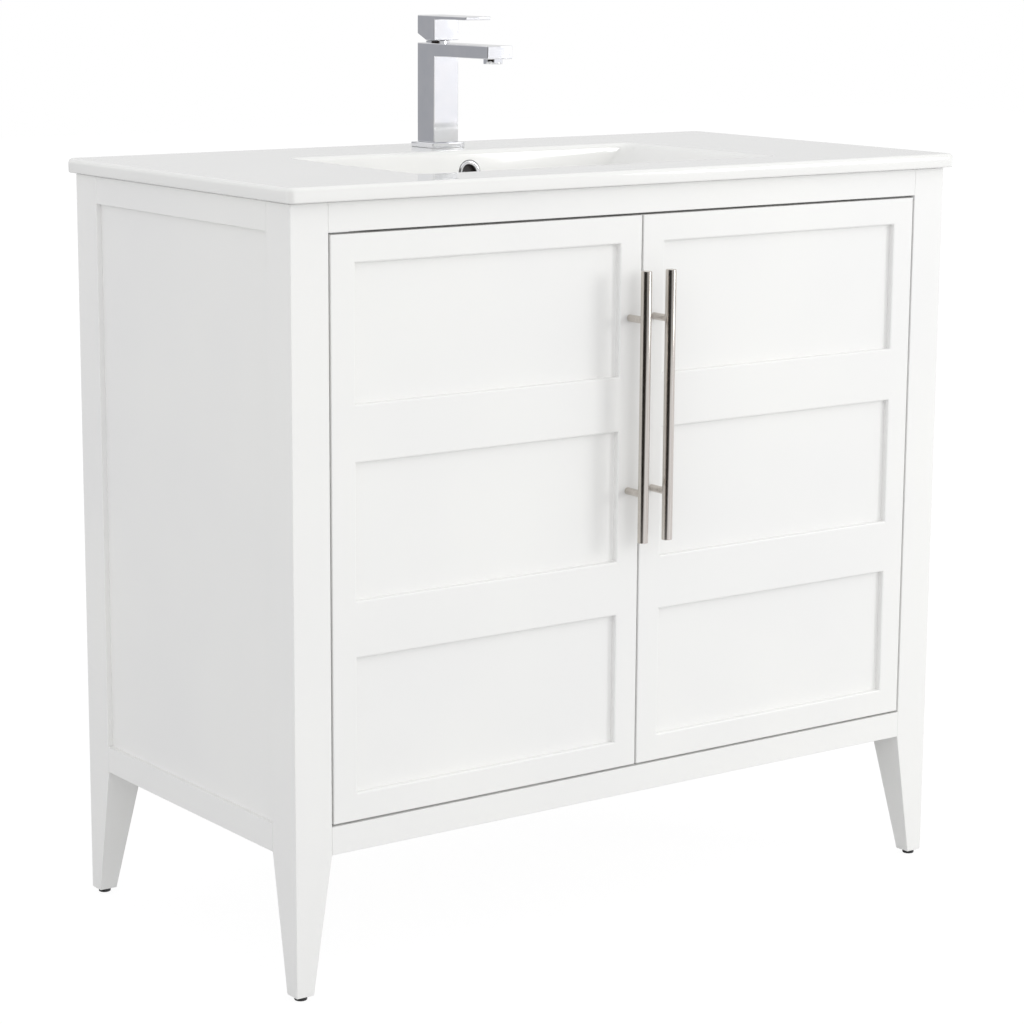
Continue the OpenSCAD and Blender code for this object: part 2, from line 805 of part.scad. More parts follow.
module tap_shank() {
    color(BRASS) cabinet_place() translate([0, tap_y, 0]) difference() {
        translate([0, 0, z_slab - shank_l]) disc(shank_d, shank_l + top_t + shank_seat);
        translate([0, 0, z_slab - shank_l + inlet_l]) disc(waterway_d, THROUGH);
        for (sx = [-1, 1]) translate([sx * inlet_x, 0, z_slab - shank_l - EPS])
            disc(inlet_d, inlet_l + 2 * EPS);
    }
}

module tap_washer() {
    color(BLACK) cabinet_place() translate([0, tap_y, z_slab - tap_washer_t]) difference() {
        disc(tap_nut_d, tap_washer_t);
        translate([0, 0, -EPS]) disc(shank_d, tap_washer_t + 2 * EPS);
    }
}

module tap_nut() {
    color(BRASS) cabinet_place() translate([0, tap_y, z_slab - tap_washer_t - tap_nut_t])
        difference() {
            cylinder(d = tap_nut_d, h = tap_nut_t, $fn = 6);
            translate([0, 0, -EPS]) disc(shank_d, tap_nut_t + 2 * EPS);
        }
}

// ---------------------------------------------------------------- doors

// Puts a door drawn from its outer front corner (X inwards, Y backwards) on its side
module door_place(side) {
    cabinet_place() at_side(side) translate([door_edge, 0, 0]) mirror([1, 0, 0]) children();
}

// Recess for the hinge cups, with the pilot holes of their screws
module cup_recesses() {
    for (z = hinge_z) translate([cup_x, door_t + EPS, z]) rotate([90, 0, 0]) {
        disc(cup_d, cup_depth + EPS);
        for (sz = [-1, 1]) translate([0, sz * flange_screw, 0]) disc(small_screw_d, small_screw_l + EPS);
    }
}

module handle_screw_holes() {
    for (sz = [-1, 1])
        translate([door_w - handle_in, door_t + EPS, handle_z + sz * standoff_pitch / 2])
            rotate([90, 0, 0]) disc(handle_screw_d + screw_hole_slack, door_t + 2 * EPS);
}

module panel_groove(low_x, high_x, low_z, high_z) {
    block([low_x, door_recess, low_z], [high_x, door_recess + door_panel_t, high_z]);
}

module door_stiles(side) {
    color(LACQUER) door_place(side) difference() {
        for (x = [0, door_w - stile_w]) block([x, 0, z_door], [x + stile_w, door_t, z_door + door_h]);
        for (i = [0:panel_count - 1])
            panel_groove(stile_w - groove_depth, door_w - stile_w + groove_depth,
                         z_door + end_rail_h + i * panel_pitch - groove_depth,
                         z_door + end_rail_h + i * panel_pitch + panel_h + groove_depth);
        cup_recesses();
        handle_screw_holes();
    }
}

module door_rails(side) {
    color(LACQUER) door_place(side) difference() {
        for (i = [0:panel_count]) {
            is_end = i == 0 || i == panel_count;
            low = i == 0 ? 0 : end_rail_h + i * panel_pitch - mid_rail_h;
            block([stile_w, 0, z_door + low],
                  [door_w - stile_w, door_t, z_door + low + (is_end ? end_rail_h : mid_rail_h)]);
        }
        for (i = [0:panel_count - 1])
            panel_groove(0, door_w, z_door + end_rail_h + i * panel_pitch - groove_depth,
                         z_door + end_rail_h + i * panel_pitch + panel_h + groove_depth);
        cup_recesses();
    }
}

module door_panels(side) {
    tongue = groove_depth - groove_slack;
    color(LACQUER) door_place(side) for (i = [0:panel_count - 1])
        translate([0, 0, z_door + end_rail_h + i * panel_pitch])
            block([stile_w - tongue, door_recess, -tongue],
                  [door_w - stile_w + tongue, door_recess + door_panel_t, panel_h + tongue]);
}

module handle_bar(side) {
    color(BRUSHED) door_place(side) translate([door_w - handle_in, -bar_reach, handle_z]) difference() {
        translate([0, 0, -bar_l / 2]) disc(bar_d, bar_l);
        for (sz = [-1, 1]) translate([0, bar_d / 2 - standoff_seat, sz * standoff_pitch / 2])
            rotate([-90, 0, 0]) disc(standoff_d, bar_d);
    }
}

module handle_standoffs(side) {
    standoff_l = bar_reach - bar_d / 2 + standoff_seat;
    color(BRUSHED) door_place(side) for (sz = [-1, 1])
        translate([door_w - handle_in, 0, handle_z + sz * standoff_pitch / 2]) rotate([90, 0, 0])
            difference() {
                disc(standoff_d, standoff_l);
                translate([0, 0, -EPS]) disc(handle_screw_d, screw_grip + EPS);
            }
}

module handle_screws(side) {
    color(STEEL) door_place(side) for (sz = [-1, 1])
        translate([door_w - handle_in, door_t, handle_z + sz * standoff_pitch / 2]) {
            rotate([-90, 0, 0]) disc(screw_head_d, screw_head_t);
            rotate([90, 0, 0]) disc(handle_screw_d, door_t + screw_grip - pilot_slack);
        }
}

// ---------------------------------------------------------------- hinges

module hinge_cups(side) {
    color(STEEL) door_place(side) for (z = hinge_z) difference() {
        union() {
            translate([cup_x, door_t, z]) rotate([90, 0, 0]) disc(cup_d, cup_depth);
            difference() {
                translate([cup_x, door_t, z])
                    block([-flange_h / 2, -EPS, -flange_w / 2], [flange_h / 2, leaf_t, flange_w / 2]);
                for (sz = [-1, 1]) translate([cup_x, door_t + leaf_t + EPS, z + sz * flange_screw])
                    rotate([90, 0, 0]) disc(small_screw_d, leaf_t + 2 * EPS);
            }
        }
        translate([cup_x, door_t + leaf_t + EPS, z]) rotate([90, 0, 0])
            disc(2 * cup_inner, cup_depth - cup_wall + leaf_t + EPS);
        translate([pin_x, pin_y, z - cup_d / 2]) disc(pin_d, cup_d);
    }
}

module hinge_pins(side) {
    half = sqrt(pow(cup_d / 2, 2) - pow(cup_x - pin_x, 2)) - cup_wall / 2;
    color(STEEL) door_place(side) for (z = hinge_z)
        translate([pin_x, pin_y, z - half]) disc(pin_d, 2 * half);
}

module cup_screws(side) {
    color(STEEL) door_place(side) for (z = hinge_z, sz = [-1, 1])
        translate([cup_x, door_t + leaf_t, z + sz * flange_screw]) {
            rotate([-90, 0, 0]) disc(small_head_d, small_head_t);
            rotate([90, 0, 0]) disc(small_screw_d, small_screw_l + leaf_t - pilot_slack);
        }
}

// Gooseneck arm, seen from above: knuckle on the pin, round the door's edge, leaf on the post
module hinge_arms(side) {
    color(STEEL) door_place(side) for (z = hinge_z) difference() {
        union() {
            translate([pin_x, pin_y, z - arm_h / 2]) disc(knuckle_d, arm_h);
            block([pin_x, pin_y - arm_t / 2, z - arm_h / 2],
                  [arm_x + arm_t, pin_y + arm_t / 2, z + arm_h / 2]);
            block([arm_x, pin_y - arm_t / 2, z - arm_h / 2], [arm_x + arm_t, arm_y + arm_t, z + arm_h / 2]);
            block([-door_gap, arm_y, z - arm_h / 2], [arm_x + arm_t, arm_y + arm_t, z + arm_h / 2]);
            block([-door_gap, leaf_start, z - leaf_h / 2],
                  [-door_gap + leaf_t, leaf_end, z + leaf_h / 2]);
        }
        translate([pin_x, pin_y, z - arm_h]) disc(pin_d + 2 * run_fit, 2 * arm_h);
        for (sz = [-1, 1]) translate([-door_gap - EPS, leaf_screw_y, z + sz * leaf_screw])
            rotate([0, 90, 0]) disc(small_screw_d, leaf_t + 2 * EPS);
    }
}

// Pilot holes behind the leaves, in the cabinet's own places
module hinge_leaf_holes() {
    for (z = hinge_z, sz = [-1, 1])
        translate([post_in - EPS, leaf_screw_y, z + sz * leaf_screw])
            rotate([0, 90, 0]) disc(small_screw_d, small_screw_l + 2 * EPS);
}

module hinge_arm_screws() {
    color(STEEL) for (side = [-1, 1], z = hinge_z, sz = [-1, 1]) door_place(side)
        translate([-door_gap + leaf_t, leaf_screw_y, z + sz * leaf_screw]) {
            rotate([0, 90, 0]) disc(small_head_d, small_head_t);
            rotate([0, -90, 0]) disc(small_screw_d, small_screw_l + leaf_t - pilot_slack);
        }
}

post(-1, false);  // post_front_left
post(1, false);  // post_front_right
post(-1, true);  // post_back_left
post(1, true);  // post_back_right
side_rails(-1);  // side_rails_left
side_rails(1);  // side_rails_right
side_panel(-1);  // side_panel_left
side_panel(1);  // side_panel_right
front_apron();
toe_rail();
back_top_rail();
back_foot_rail();
floor_board();
floor_cleats();
hinge_cleats();
corner_blocks();
door_stop();
door_bumpers();
leg_glides();
top_sealant();
basin_deck();
basin_bowl();
overflow_duct();
overflow_ring();
waste_flange();
waste_washer();
waste_nut();
waste_guide();
waste_tailpiece();
waste_stopper();
tap_plate();
tap_body();
tap_aerator();
tap_cartridge();
tap_shank();
tap_washer();
tap_nut();
tap_spindle();
tap_lever();
tap_lever_stem();
hinge_arm_screws();
hinge_arms(-1);  // hinge_arms_left
hinge_arms(1);  // hinge_arms_right
door_stiles(-1);  // door_stiles_left
door_stiles(1);  // door_stiles_right
door_rails(-1);  // door_rails_left
door_rails(1);  // door_rails_right
door_panels(-1);  // door_panels_left
door_panels(1);  // door_panels_right
hinge_cups(-1);  // hinge_cups_left
hinge_cups(1);  // hinge_cups_right
hinge_pins(-1);  // hinge_pins_left
hinge_pins(1);  // hinge_pins_right
cup_screws(-1);  // cup_screws_left
cup_screws(1);  // cup_screws_right
handle_bar(-1);  // handle_bar_left
handle_bar(1);  // handle_bar_right
handle_standoffs(-1);  // handle_standoffs_left
handle_standoffs(1);  // handle_standoffs_right
handle_screws(-1);  // handle_screws_left
handle_screws(1);  // handle_screws_right
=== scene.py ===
"""Bathroom vanity cabinet: white lacquered carcass and doors, glazed basin top, square chrome tap."""

import json
import math

import bmesh
import bpy
from mathutils import Matrix, Vector


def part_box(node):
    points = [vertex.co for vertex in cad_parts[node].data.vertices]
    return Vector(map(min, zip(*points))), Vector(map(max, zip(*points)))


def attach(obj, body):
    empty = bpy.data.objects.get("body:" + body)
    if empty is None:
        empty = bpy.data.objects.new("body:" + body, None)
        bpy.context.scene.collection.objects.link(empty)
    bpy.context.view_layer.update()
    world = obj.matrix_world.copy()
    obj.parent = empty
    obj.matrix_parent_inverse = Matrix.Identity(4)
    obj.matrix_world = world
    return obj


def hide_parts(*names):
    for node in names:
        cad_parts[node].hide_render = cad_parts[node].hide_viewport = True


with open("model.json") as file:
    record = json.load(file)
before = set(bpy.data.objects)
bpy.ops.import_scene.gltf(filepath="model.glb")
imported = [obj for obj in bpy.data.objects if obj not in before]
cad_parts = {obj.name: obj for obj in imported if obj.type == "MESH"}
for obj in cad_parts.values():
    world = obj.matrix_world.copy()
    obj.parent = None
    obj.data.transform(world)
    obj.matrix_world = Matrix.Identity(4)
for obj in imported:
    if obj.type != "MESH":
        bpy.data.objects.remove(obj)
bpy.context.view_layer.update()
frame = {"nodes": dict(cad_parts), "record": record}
MM = 0.001

# ------------------------------------------------------------------ driving sizes, in mm

POST_W, POST_D = 45.0, 46.5          # section of a post above the legs
FOOT_W, FOOT_D = 21.3, 19.9          # section of a leg at its foot
STILE_W, END_RAIL_H, MID_RAIL_H = 29.5, 30.0, 61.0
PANEL_COUNT = 3
HANDLE_PITCH = 192.0                 # distance between the standoffs of a handle
BOWL_W, BOWL_D, BOWL_FRONT, BOWL_DEEP = 493.0, 266.0, 79.0, 105.0
LEAN_SIDE, LEAN_FRONT, LEAN_BACK = 95.0, 22.0, 8.0
BOWL_WALL = 9.0
OVERFLOW_DROP, OVERFLOW_BORE = 27.0, 23.0
WASTE_D, WASTE_TUBE_D, WASTE_SEAT = 66.0, 44.0, 3.5
DUCT_W = 52.0
DUCT_LAP = 1.5
TAP_HOLE_D = 30.0
CUP_SCREW_UP, LEAF_SCREW_UP = 20.0, 17.0
GLIDE_R, GLIDE_H = 7.0, 5.0
HINGE_SCREW = (7.0, 1.8)             # width and height of a screw head
HANDLE_SCREW = (8.0, 2.5)
OVERFLOW_OUTER, OVERFLOW_INNER = 15.0, 10.4
DOOR_ARRIS, PANEL_RIM = 0.9, 1.7     # how much the door's outer and inner edges are eased
WELD = 1e-6                          # points nearer than this, in metres, are one
ON_FACE = 1e-5                       # a point this near a face, in metres, lies on it

# ------------------------------------------------------------------ materials


def linear(hex_colour):
    """sRGB hex to linear RGBA."""
    parts = [int(hex_colour[i:i + 2], 16) / 255 for i in (1, 3, 5)]
    return [c / 12.92 if c <= 0.04045 else ((c + 0.055) / 1.055) ** 2.4 for c in parts] + [1.0]


def add(tree, kind, settings=None, links=None):
    """Adds a node; settings are its own values or socket defaults, links feed its inputs."""
    made = tree.nodes.new(kind)
    for key, value in (settings or {}).items():
        if isinstance(key, str) and hasattr(made, key):
            setattr(made, key, value)
        else:
            made.inputs[key].default_value = value
    for key, source in (links or {}).items():
        tree.links.new(source, made.inputs[key])
    return made


def finish_of(name, shader):
    """A new material with one Principled shader and object-space pattern coordinates."""
    mat = bpy.data.materials.new(name)
    mat.use_nodes = True
    tree = mat.node_tree
    tree.nodes.clear()
    bsdf = add(tree, "ShaderNodeBsdfPrincipled", shader)
    out = add(tree, "ShaderNodeOutputMaterial")
    tree.links.new(bsdf.outputs[0], out.inputs[0])
    place = add(tree, "ShaderNodeTexCoord").outputs["Object"]
    return mat, tree, bsdf, place


def tint(tree, bsdf, pattern, low, high, start=0.35, end=0.65):
    """Colour that drifts between two hex values with a pattern."""
    ramp = add(tree, "ShaderNodeValToRGB", None, {"Fac": pattern})
    ramp.color_ramp.elements[0].position = start
    ramp.color_ramp.elements[1].position = end
    ramp.color_ramp.elements[0].color = linear(low)
    ramp.color_ramp.elements[1].color = linear(high)
    tree.links.new(ramp.outputs["Color"], bsdf.inputs["Base Color"])


def roughness(tree, bsdf, pattern, low, high):
    spread = add(tree, "ShaderNodeMapRange", {"To Min": low, "To Max": high}, {"Value": pattern})
    tree.links.new(spread.outputs["Result"], bsdf.inputs["Roughness"])


def relief(tree, bsdf, pattern, strength, depth_mm):
    bump = add(tree, "ShaderNodeBump", {"Strength": strength, "Distance": depth_mm * MM},
               {"Height": pattern})
    tree.links.new(bump.outputs["Normal"], bsdf.inputs["Normal"])


def noise(tree, place, grain_mm, detail=2.0, stretch=None):
    """Noise whose blobs are about grain_mm wide; stretch pulls them out along an axis."""
    where = place
    if stretch:
        where = add(tree, "ShaderNodeMapping", {"Scale": stretch}, {"Vector": place}).outputs[0]
    return add(tree, "ShaderNodeTexNoise", {"Scale": 1 / (grain_mm * MM), "Detail": detail},
               {"Vector": where}).outputs["Fac"]


def satin_lacquer():
    """Sprayed polyurethane lacquer on board: even white, soft sheen, faint orange peel."""
    mat, tree, bsdf, place = finish_of("satin_white_lacquer", {"IOR": 1.5})
    tint(tree, bsdf, noise(tree, place, 260), "#F1F1F0", "#F4F4F2")
    roughness(tree, bsdf, noise(tree, place, 35), 0.36, 0.44)
    relief(tree, bsdf, noise(tree, place, 1.6, 1.0), 0.12, 0.03)
    return mat


def glazed_china():
    """Vitreous china under a clear glaze: hard gloss with a very slight wave."""
    mat, tree, bsdf, place = finish_of("glazed_white_china", {"IOR": 1.52, "Coat Weight": 0.6,
                                                              "Coat Roughness": 0.03})
    tint(tree, bsdf, noise(tree, place, 180), "#F2F2F0", "#F5F5F3")
    roughness(tree, bsdf, noise(tree, place, 60), 0.09, 0.14)
    relief(tree, bsdf, noise(tree, place, 70, 1.0), 0.05, 0.15)
    return mat


def polished_chrome():
    """Electroplated chrome over brass: mirror bright, a trace of wiping haze."""
    mat, tree, bsdf, place = finish_of("polished_chrome", {"Metallic": 1.0})
    tint(tree, bsdf, noise(tree, place, 24), "#EEEFF2", "#F3F3F5")
    roughness(tree, bsdf, noise(tree, place, 14), 0.035, 0.075)
    relief(tree, bsdf, noise(tree, place, 22, 1.0), 0.03, 0.05)
    return mat


def brushed_nickel():
    """Steel bar brushed lengthwise and nickel plated: warm grey, fine streaks along the bar."""
    mat, tree, bsdf, place = finish_of("brushed_nickel", {"Metallic": 1.0, "Anisotropic": 0.3})
    streaks = noise(tree, place, 0.9, 3.0, (1.0, 1.0, 0.012))
    tint(tree, bsdf, streaks, "#C4BDB6", "#DBD6D0", 0.3, 0.7)
    roughness(tree, bsdf, streaks, 0.15, 0.24)
    relief(tree, bsdf, streaks, 0.1, 0.02)
    return mat


def plated_steel():
    """Pressed steel with bright zinc-nickel plate: light grey, slightly mottled."""
    mat, tree, bsdf, place = finish_of("nickel_plated_steel", {"Metallic": 1.0})
    tint(tree, bsdf, noise(tree, place, 6), "#B9BABB", "#C9C9CA")
    roughness(tree, bsdf, noise(tree, place, 4), 0.22, 0.36)
    relief(tree, bsdf, noise(tree, place, 2.5), 0.1, 0.03)
    return mat


def turned_brass():
    """Turned brass fittings: yellow metal with fine machining rings."""
    mat, tree, bsdf, place = finish_of("turned_brass", {"Metallic": 1.0})
    rings = noise(tree, place, 1.2, 2.0, (0.05, 0.05, 1.0))
    tint(tree, bsdf, rings, "#B8954D", "#CBAA62")
    roughness(tree, bsdf, rings, 0.25, 0.4)
    relief(tree, bsdf, rings, 0.2, 0.05)
    return mat


def black_nylon():
    """Moulded black nylon glide: matt, faint mould grain."""
    mat, tree, bsdf, place = finish_of("moulded_black_nylon", {"IOR": 1.52})
    tint(tree, bsdf, noise(tree, place, 5), "#1B1B1C", "#262627")
    roughness(tree, bsdf, noise(tree, place, 2), 0.42, 0.58)
    relief(tree, bsdf, noise(tree, place, 0.8), 0.2, 0.04)
    return mat


def black_rubber():
    """Washer rubber: deep matt black."""
    mat, tree, bsdf, place = finish_of("washer_rubber", {"IOR": 1.5})
    tint(tree, bsdf, noise(tree, place, 7), "#171717", "#222222")
    roughness(tree, bsdf, noise(tree, place, 3), 0.6, 0.8)
    relief(tree, bsdf, noise(tree, place, 0.9), 0.2, 0.05)
    return mat


def seam_sealant():
    """Bead of grey-brown sealant, always in shadow under the top."""
    mat, tree, bsdf, place = finish_of("seam_sealant", {"IOR": 1.45})
    tint(tree, bsdf, noise(tree, place, 12), "#4B4743", "#5A5652")
    roughness(tree, bsdf, noise(tree, place, 6), 0.45, 0.65)
    relief(tree, bsdf, noise(tree, place, 3), 0.3, 0.2)
    return mat


def clear_silicone():
    """Soft translucent bumper pad."""
    mat, tree, bsdf, place = finish_of("clear_silicone", {"IOR": 1.42, "Subsurface Weight": 0.3,
                                                          "Subsurface Radius": (0.002, 0.002, 0.002)})
    tint(tree, bsdf, noise(tree, place, 5), "#C9C9C5", "#D6D6D2")
    roughness(tree, bsdf, noise(tree, place, 3), 0.2, 0.35)
    return mat


def painted_shade_hollow():
    """Painted shade: a near-black colour standing in for the unlit inside of the overflow and the
    aerator.
    """
    mat, tree, bsdf, place = finish_of("painted_shade_hollow", {"IOR": 1.5})
    tint(tree, bsdf, noise(tree, place, 6), "#1D1A19", "#3A3432")
    roughness(tree, bsdf, noise(tree, place, 3), 0.35, 0.6)
    return mat


LACQUER, CHINA, CHROME = satin_lacquer(), glazed_china(), polished_chrome()
NICKEL, STEEL, BRASS = brushed_nickel(), plated_steel(), turned_brass()
NYLON, RUBBER, SEALANT = black_nylon(), black_rubber(), seam_sealant()
# PAINTED_SHADE is painted shade for the unlit insides of the overflow and the aerator
SILICONE, PAINTED_SHADE = clear_silicone(), painted_shade_hollow()
FINISHES = {
    "white_lacquer": LACQUER, "glazed_china": CHINA, "polished_chrome": CHROME,
    "brushed_nickel": NICKEL, "plated_steel": STEEL, "brass": BRASS, "black_glide": NYLON,
    "black_rubber": RUBBER, "sealant": SEALANT, "clear_silicone": SILICONE,
}

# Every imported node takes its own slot's finish
for part in frame["record"]["subparts"]:
    mesh = frame["nodes"][part["node"]].data
    mesh.materials.clear()
    mesh.materials.append(FINISHES[part["material_slot"]])

# ------------------------------------------------------------------ mesh helpers


def piece(name, bm, body, slot, replaces=(), finish=None, crease=None):
    """Turns a bmesh into a finished piece; crease is the angle in degrees past which edges stay sharp."""
    bmesh.ops.recalc_face_normals(bm, faces=bm.faces)
    mesh = bpy.data.meshes.new(name)
    bm.to_mesh(mesh)
    bm.free()
    if crease is not None:
        mesh.shade_smooth()
        mesh.set_sharp_from_angle(angle=math.radians(crease))
    mesh.materials.append(finish or FINISHES[slot])
    obj = bpy.data.objects.new(name, mesh)
    bpy.context.scene.collection.objects.link(obj)
    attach(obj, body)
    if replaces:
        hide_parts(*replaces)
    return obj


def add_box(bm, low, high):
    """An axis-aligned box between two corners, in metres."""
    size = [high[i] - low[i] for i in range(3)]
    centre = [(high[i] + low[i]) / 2 for i in range(3)]
    made = bmesh.ops.create_cube(bm, size=1.0)
    bmesh.ops.scale(bm, vec=size, verts=made["verts"])
    bmesh.ops.translate(bm, vec=centre, verts=made["verts"])
    return made["verts"]


def ease(bm, radius_mm, segments=3, angle=25.0, edges=None):
    """Rounds the sharp edges; the flat faces stay flat-shaded and the rounds are smooth."""
    for face in bm.faces:
        face.smooth = False
    if edges is None:
        edges = [e for e in bm.edges
                 if len(e.link_faces) == 2 and e.calc_face_angle(0) > math.radians(angle)]
    rounds = bmesh.ops.bevel(bm, geom=edges, offset=radius_mm * MM, offset_type="OFFSET",
                             segments=segments, profile=0.5, affect="EDGES", clamp_overlap=True)
    for face in rounds["faces"]:
        face.smooth = True


def add_prism(bm, outline, low, high, axis):
    """Extrudes an outline, given in the two other axes' order, along an axis."""
    def corner(a, b, c):
        return {"x": (c, a, b), "y": (a, c, b), "z": (a, b, c)}[axis]
    ends = [[bm.verts.new(corner(a, b, level)) for a, b in outline] for level in (low, high)]
    bm.faces.new(ends[0])
    bm.faces.new(list(reversed(ends[1])))
    for i in range(len(outline)):
        j = (i + 1) % len(outline)
        bm.faces.new([ends[0][i], ends[0][j], ends[1][j], ends[1][i]])


def add_rings(bm, rings, closed=False):
    """Skins a list of equal rings of points; closed joins the last ring to the first."""
    rows = [[bm.verts.new(p) for p in ring] for ring in rings]
    pairs = list(zip(rows, rows[1:])) + ([(rows[-1], rows[0])] if closed else [])
    for a, b in pairs:
        for i in range(len(a)):
            j = (i + 1) % len(a)
            bm.faces.new([a[i], a[j], b[j], b[i]])
    if not closed:
        bm.faces.new(list(reversed(rows[0])))
        bm.faces.new(rows[-1])
    return rows


def lathe(profile, origin, direction, sides=48):
    """Turns (radius, height) points, in mm, round a direction at an origin in metres."""
    turn = Vector((0, 0, 1)).rotation_difference(Vector(direction)).to_matrix()
    rings = []
    for radius, height in profile:
        ring = [Vector((radius * math.cos(2 * math.pi * k / sides),
                        radius * math.sin(2 * math.pi * k / sides), height)) * MM
                for k in range(sides)]
        rings.append([Vector(origin) + turn @ p for p in ring])
    return rings


def turned(name, profile, origin, direction, body, slot, replaces=(), closed=False, sides=48,
           crease=35):
    bm = bmesh.new()
    add_rings(bm, lathe(profile, origin, direction, sides), closed)
    return piece(name, bm, body, slot, replaces, crease=crease)


# ------------------------------------------------------------------ carcass

EASE_BOARD = 0.55    # a sanded arris; two of them make the fine line where boards butt
EASE_POST = 0.8


def eased_board(node, body="cabinet", boxes=None):
    """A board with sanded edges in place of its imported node."""
    bm = bmesh.new()
    for low, high in boxes or [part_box(node)]:
        add_box(bm, low, high)
    ease(bm, EASE_BOARD, 2)
    return piece(node + "_eased", bm, body, "white_lacquer", (node,))


def tapered_post(node):
    """A post: square section above the knee, tapered on its two inner faces below it."""
    low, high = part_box(node)
    left, front = low.x < 0, low.y < 0
    corner_x = low.x if left else high.x
    corner_y = low.y if front else high.y
    inward_x, inward_y = (1 if left else -1), (1 if front else -1)
    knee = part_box("toe_rail")[0].z
    bm = bmesh.new()
    rings = []
    for w, d, z in ((FOOT_W, FOOT_D, low.z), (POST_W, POST_D, knee), (POST_W, POST_D, high.z)):
        x, y = corner_x + inward_x * w * MM, corner_y + inward_y * d * MM
        rings.append([(corner_x, corner_y, z), (x, corner_y, z), (x, y, z), (corner_x, y, z)])
    add_rings(bm, rings)
    bmesh.ops.recalc_face_normals(bm, faces=bm.faces)
    ease(bm, EASE_POST, 3, 30)
    return piece(node + "_eased", bm, "cabinet", "white_lacquer", (node,))


for node in ("post_front_left", "post_front_right", "post_back_left", "post_back_right"):
    tapered_post(node)
for node in ("front_apron", "toe_rail", "side_panel_left", "side_panel_right", "back_foot_rail",
             "door_stop"):
    eased_board(node)

APRON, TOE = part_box("front_apron"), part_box("toe_rail")
for side in ("left", "right"):
    low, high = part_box("side_rails_" + side)
    eased_board("side_rails_" + side, boxes=[
        (low, Vector((high.x, high.y, TOE[1].z))),
        (Vector((low.x, low.y, APRON[0].z)), high)])


def glide(x, y, floor):
    """Round nylon pad with a rolled lower edge and a domed nail head's recess."""
    radius, height = GLIDE_R, GLIDE_H
    profile = [(0.01, 0.9), (2.4, 0.9), (2.9, 0.5), (3.4, 0.0)]
    profile += [(radius - 1.2, 0.0), (radius - 0.35, 0.35), (radius, 1.2)]
    profile += [(radius, height - 0.4), (radius - 0.4, height), (0.01, height)]
    bm = bmesh.new()
    add_rings(bm, lathe(profile, (x, y, floor), (0, 0, 1), 40))
    return bm


def glides():
    low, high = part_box("leg_glides")
    whole = bmesh.new()
    radius = GLIDE_R * MM
    for x in (low.x + radius, high.x - radius):
        for y in (low.y + radius, high.y - radius):
            one = glide(x, y, low.z)
            mesh = bpy.data.meshes.new("glide_part")
            one.to_mesh(mesh)
            one.free()
            whole.from_mesh(mesh)
            bpy.data.meshes.remove(mesh)
    return piece("leg_glides_turned", whole, "cabinet", "black_glide", ("leg_glides",), crease=40)


glides()

# ------------------------------------------------------------------ doors


def door_openings(side):
    """Low and high corners of the three panel openings of a door, seen from the front."""
    low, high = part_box("door_stiles_" + side)
    height = (high.z - low.z) / MM
    panel_h = (height - 2 * END_RAIL_H - (PANEL_COUNT - 1) * MID_RAIL_H) / PANEL_COUNT
    openings = []
    for i in range(PANEL_COUNT):
        z = low.z + (END_RAIL_H + i * (panel_h + MID_RAIL_H)) * MM
        openings.append(((low.x + STILE_W * MM, z), (high.x - STILE_W * MM, z + panel_h * MM)))
    return openings


def hinge_heights():
    openings = door_openings("left")
    return [(a[1][1] + b[0][1]) / 2 for a, b in zip(openings, openings[1:])]


